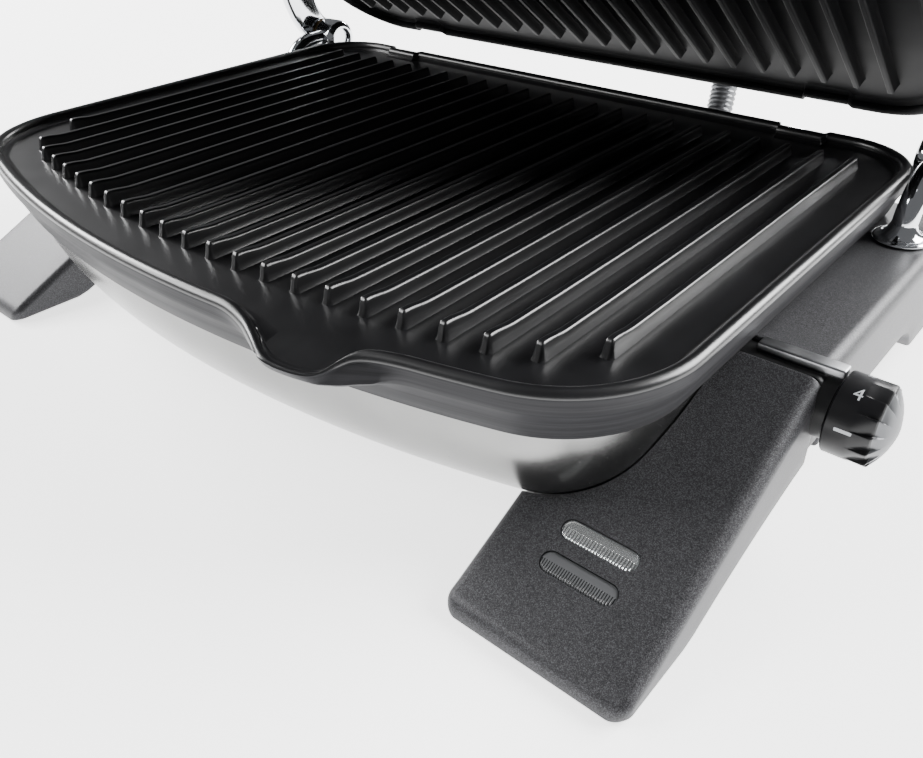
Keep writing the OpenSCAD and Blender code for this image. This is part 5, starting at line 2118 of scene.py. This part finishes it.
@dataclass(frozen=True)
class Fittings:
    """Feet, screws, glands, hooks and lid lugs; turned profiles are (distance along the axis, radius)."""

    table: float = -72.0
    foot_x: Point2 = (132.5, 176.5)
    foot_y: Point2 = (-212.0, -197.0)
    foot_rings: Profile = ((0.0, 0.8), (0.2, 0.3), (0.8, 0.0), (3.8, 0.0), (4.0, 0.2))
    rear_foot: Profile = ((0.0, 0.0), (0.0, 10.8), (0.3, 11.6), (1.0, 12.0), (9.5, 12.0), (9.8, 11.7),
                          (10.5, 11.7), (13.8, 11.7), (14.0, 0.0))
    rear_foot_place: Point2 = (165.0, 9.0)
    leg_screw: Profile = ((1.2, 0.0), (1.2, 1.3), (0.0, 1.9), (0.0, 2.4), (0.3, 2.85), (1.0, 3.0),
                          (5.0, 3.0), (5.0, 0.0))
    leg_screw_places: tuple[Point3, ...] = ((135, -190, 0.8), (176, -190, 0.8), (140, 24, 11),
                                            (176, 30, 11))
    bowl_screw: Profile = ((0.9, 0.0), (0.9, 1.2), (0.0, 1.6), (0.0, 3.2), (0.4, 3.85), (1.1, 4.0),
                           (1.6, 4.0), (1.6, 2.0), (9.0, 2.0), (9.0, 0.0))
    bowl_screw_z: float = -61.65
    gland_z: float = -30.0
    hook_x: float = 114.0
    hook_half: float = 8.0
    hook_side: Profile = ((13.1, -22.5), (25.2, -22.5), (25.2, -2.0), (23.6, -2.0), (23.6, -20.9),
                          (13.1, -20.9))
    hook_roll: Profile = ((-9.5, 0.0), (-9.5, 0.9), (-9.1, 1.25), (-8.6, 1.3), (8.6, 1.3), (9.1, 1.25),
                          (9.5, 0.9), (9.5, 0.0))
    hook_roll_place: Point3 = (0, 23.1, -3.0)
    lug: Profile = ((148.0, 0.0), (148.0, 12.6), (149.0, 13.0), (174.1, 13.0), (175.2, 12.6), (175.6, 11.6),
                    (175.7, 10.4), (175.7, 6.2), (175.3, 5.4), (175.3, 0.0))

    def build(self) -> None:
        """Builds every small fitting."""
        self.feet()
        self.screws()
        for gland in (Gland("conduit_gland_base", 60.0, 9.2, 5.0, 21.0, Body.BASE, FINISHES.chrome),
                      Gland("conduit_gland_lid", 52.0, 9.2, 5.0, 21.0, Body.LID, FINISHES.chrome),
                      Gland("cord_gland", -70.0, 8.2, 3.6, 24.0, Body.BASE, FINISHES.black)):
            gland.build(self.gland_z)
        self.hooks("plate_hooks_base", Body.BASE)
        self.hooks("plate_hooks_lid", Body.LID)
        lugs = MeshMaker()
        lugs.turned_pair(self.lug, (0, *POSTURE.pivot), 64)
        lugs.piece("lid_pivot_lugs", Body.LID, FINISHES.black)

    def feet(self) -> None:
        """Builds the rubber feet: a pad under each nose, a turned foot under each rear leg."""
        front, rear = MeshMaker(), MeshMaker()
        (x0, x1), (y0, y1) = self.foot_x, self.foot_y
        place_x, place_y = self.rear_foot_place
        pads = [(self.table + h, rounded_rectangle(x0 + e, x1 - e, y0 + e, y1 - e, 3.0))
                for h, e in self.foot_rings]
        turned = [(self.table + h, r) for h, r in self.rear_foot]
        for s in (-1, 1):
            front.loft([[(s * x, y, z) for x, y in pad] for z, pad in pads])
            rear.lathe(turned, (s * place_x, place_y, 0), Axis.Z, 56)
        front.piece("front_feet", Body.BASE, FINISHES.rubber)
        rear.piece("rear_feet", Body.BASE, FINISHES.rubber)

    def screws(self) -> None:
        """Builds the screws under the legs and the bowl."""
        legs, bowl = MeshMaker(), MeshMaker()
        for x, y, lift in self.leg_screw_places:
            for s in (-1, 1):
                profile = [(self.table + lift + h, r) for h, r in self.leg_screw]
                legs.lathe(profile, (s * x, y, 0), Axis.Z, 24)
        for x in (-90, 90):
            for y in (-165, -40):
                bowl.lathe([(self.bowl_screw_z + h, r) for h, r in self.bowl_screw], (x, y, 0), Axis.Z, 24)
        legs.piece("leg_screws", Body.BASE, FINISHES.chrome)
        bowl.piece("base_screws", Body.BASE, FINISHES.chrome)

    def hooks(self, name: str, body: Body) -> None:
        """Builds the sprung hooks at the back of one plate.

        Args:
            name: Piece name.
            body: Body it rides on; on the lid it is turned over.
        """
        maker = MeshMaker()
        for s in (-1, 1):
            middle = s * self.hook_x
            maker.slab(self.hook_side, middle - self.hook_half, middle + self.hook_half, 0.25)
            maker.lathe([(middle + a, r) for a, r in self.hook_roll], self.hook_roll_place, Axis.X, 24)
        maker.piece(name, body, FINISHES.chrome, turned_over=body is Body.LID)


# ---------------- inner CAD nodes, studio, camera
def finish_inner_nodes() -> None:
    """Gives the CAD nodes that stay in view inside the grill their real finishes."""
    inner = {"base_liner": FINISHES.sheet, "lid_liner": FINISHES.sheet, "lower_element": FINISHES.element,
             "upper_element": FINISHES.element, "thermostat": FINISHES.sheet, "knob_shaft": FINISHES.sheet,
             "terminal_block": FINISHES.ceramic}
    for name, finish in inner.items():
        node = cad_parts[name]
        node.data.materials.clear()
        node.data.materials.append(finish.material())


@dataclass(frozen=True)
class SoftBox:
    """One soft area light: where it stands and what it points at, in metres, its size and its watts."""

    name: str
    place: Point3
    size: Point2
    watts: float
    aim: Point3 = (0, 0, 0.05)

    def build(self) -> None:
        """Adds the light."""
        data = bpy.data.lights.new(self.name, "AREA")
        data.shape, data.energy = "RECTANGLE", self.watts
        data.size, data.size_y = self.size
        made = linked(self.name, data)
        way = (Vector(self.aim) - Vector(self.place)).to_track_quat("-Z", "Y")
        made.matrix_world = Matrix.Translation(self.place) @ way.to_matrix().to_4x4()


@dataclass(frozen=True)
class StudioSet:
    """Pale floor, soft lights and the camera that looks down over the right front corner."""

    boxes: tuple[SoftBox, ...] = (
        SoftBox("back_right_box", (1.05, 1.3, 1.1), (1.6, 1.0), 140.0),
        SoftBox("front_left_box", (-1.3, -1.1, 1.2), (1.0, 0.8), 42.0),
        SoftBox("left_box", (-1.7, -0.15, 1.0), (0.7, 0.6), 50.0),
        SoftBox("back_strip", (-0.5, 1.85, 0.85), (0.35, 0.5), 22.0, (0.1, 0, 0.05)))
    floor_reach: float = 14.0
    floor_z: float = -0.0002
    sky: tuple[float, float, float, float] = (0.96, 0.97, 1.0, 1.0)
    sky_strength: float = 0.2
    sensor_mm: float = 36.0
    lens_px: float = 851.0
    width_px: int = 923
    height_px: int = 758
    centre_px: Point2 = (460.0, 382.0)
    eye: Point3 = (236.3, -336.9, 115.4)
    yaw: float = 41.45
    pitch: float = 34.44
    roll: float = -1.34

    def camera(self) -> None:
        """Adds the camera."""
        yaw, pitch, roll = (math.radians(v) for v in (self.yaw, self.pitch, self.roll))
        level = math.cos(pitch)
        ahead = Vector((-math.sin(yaw) * level, math.cos(yaw) * level, -math.sin(pitch)))
        right = Vector((math.cos(yaw), math.sin(yaw), 0.0))
        up = right.cross(ahead)
        turned_right = right * math.cos(roll) + up * math.sin(roll)
        turned_up = up * math.cos(roll) - right * math.sin(roll)
        data = bpy.data.cameras.new("camera")
        data.sensor_width = self.sensor_mm
        data.lens = self.lens_px / self.width_px * self.sensor_mm
        data.shift_x = (self.width_px / 2 - self.centre_px[0]) / self.width_px
        data.shift_y = (self.centre_px[1] - self.height_px / 2) / self.width_px
        data.clip_start, data.clip_end = 0.01, 50.0
        made = linked("camera", data)
        axes = Matrix((turned_right, turned_up, -ahead)).transposed().to_4x4()
        made.matrix_world = Matrix.Translation(POSTURE.base() @ Vector(self.eye)) @ axes
        bpy.context.scene.camera = made

    def floor(self) -> None:
        """Adds the floor."""
        mesh = bpy.data.meshes.new("studio_floor")
        corners = ((-1, -1), (1, -1), (1, 1), (-1, 1))
        mesh.from_pydata([(x * self.floor_reach, y * self.floor_reach, self.floor_z) for x, y in corners],
                         [], [(0, 1, 2, 3)])
        mesh.materials.append(FINISHES.floor.material())
        linked("studio_floor", mesh)

    def build(self) -> None:
        """Builds floor, world, lights and camera."""
        self.floor()
        world = bpy.data.worlds.new("studio_world")
        world.use_nodes = True
        background = world.node_tree.nodes["Background"]
        background.inputs["Color"].default_value = self.sky
        background.inputs["Strength"].default_value = self.sky_strength
        bpy.context.scene.world = world
        for box in self.boxes:
            box.build()
        self.camera()


# ---------------- main
def main() -> None:
    logging.basicConfig(level=logging.INFO, format="%(name)s %(message)s")
    CookingPlate(spouted=True).build("lower_plate_cast", Body.BASE, "lower_plate")
    CookingPlate(spouted=False).build("upper_plate_cast", Body.LID, "upper_plate")
    SteelShell().build("base_bowl_pressed", Body.BASE, "base_bowl")
    SteelShell().build("lid_shell_pressed", Body.LID, "lid_shell")
    for assembly in (SideRails, Lamps, Control, HingePosts, HandleFrame, WoundConduit, Fittings):
        assembly().build()
    finish_inner_nodes()
    StudioSet().build()
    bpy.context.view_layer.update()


if __name__ == "__main__":
    main()
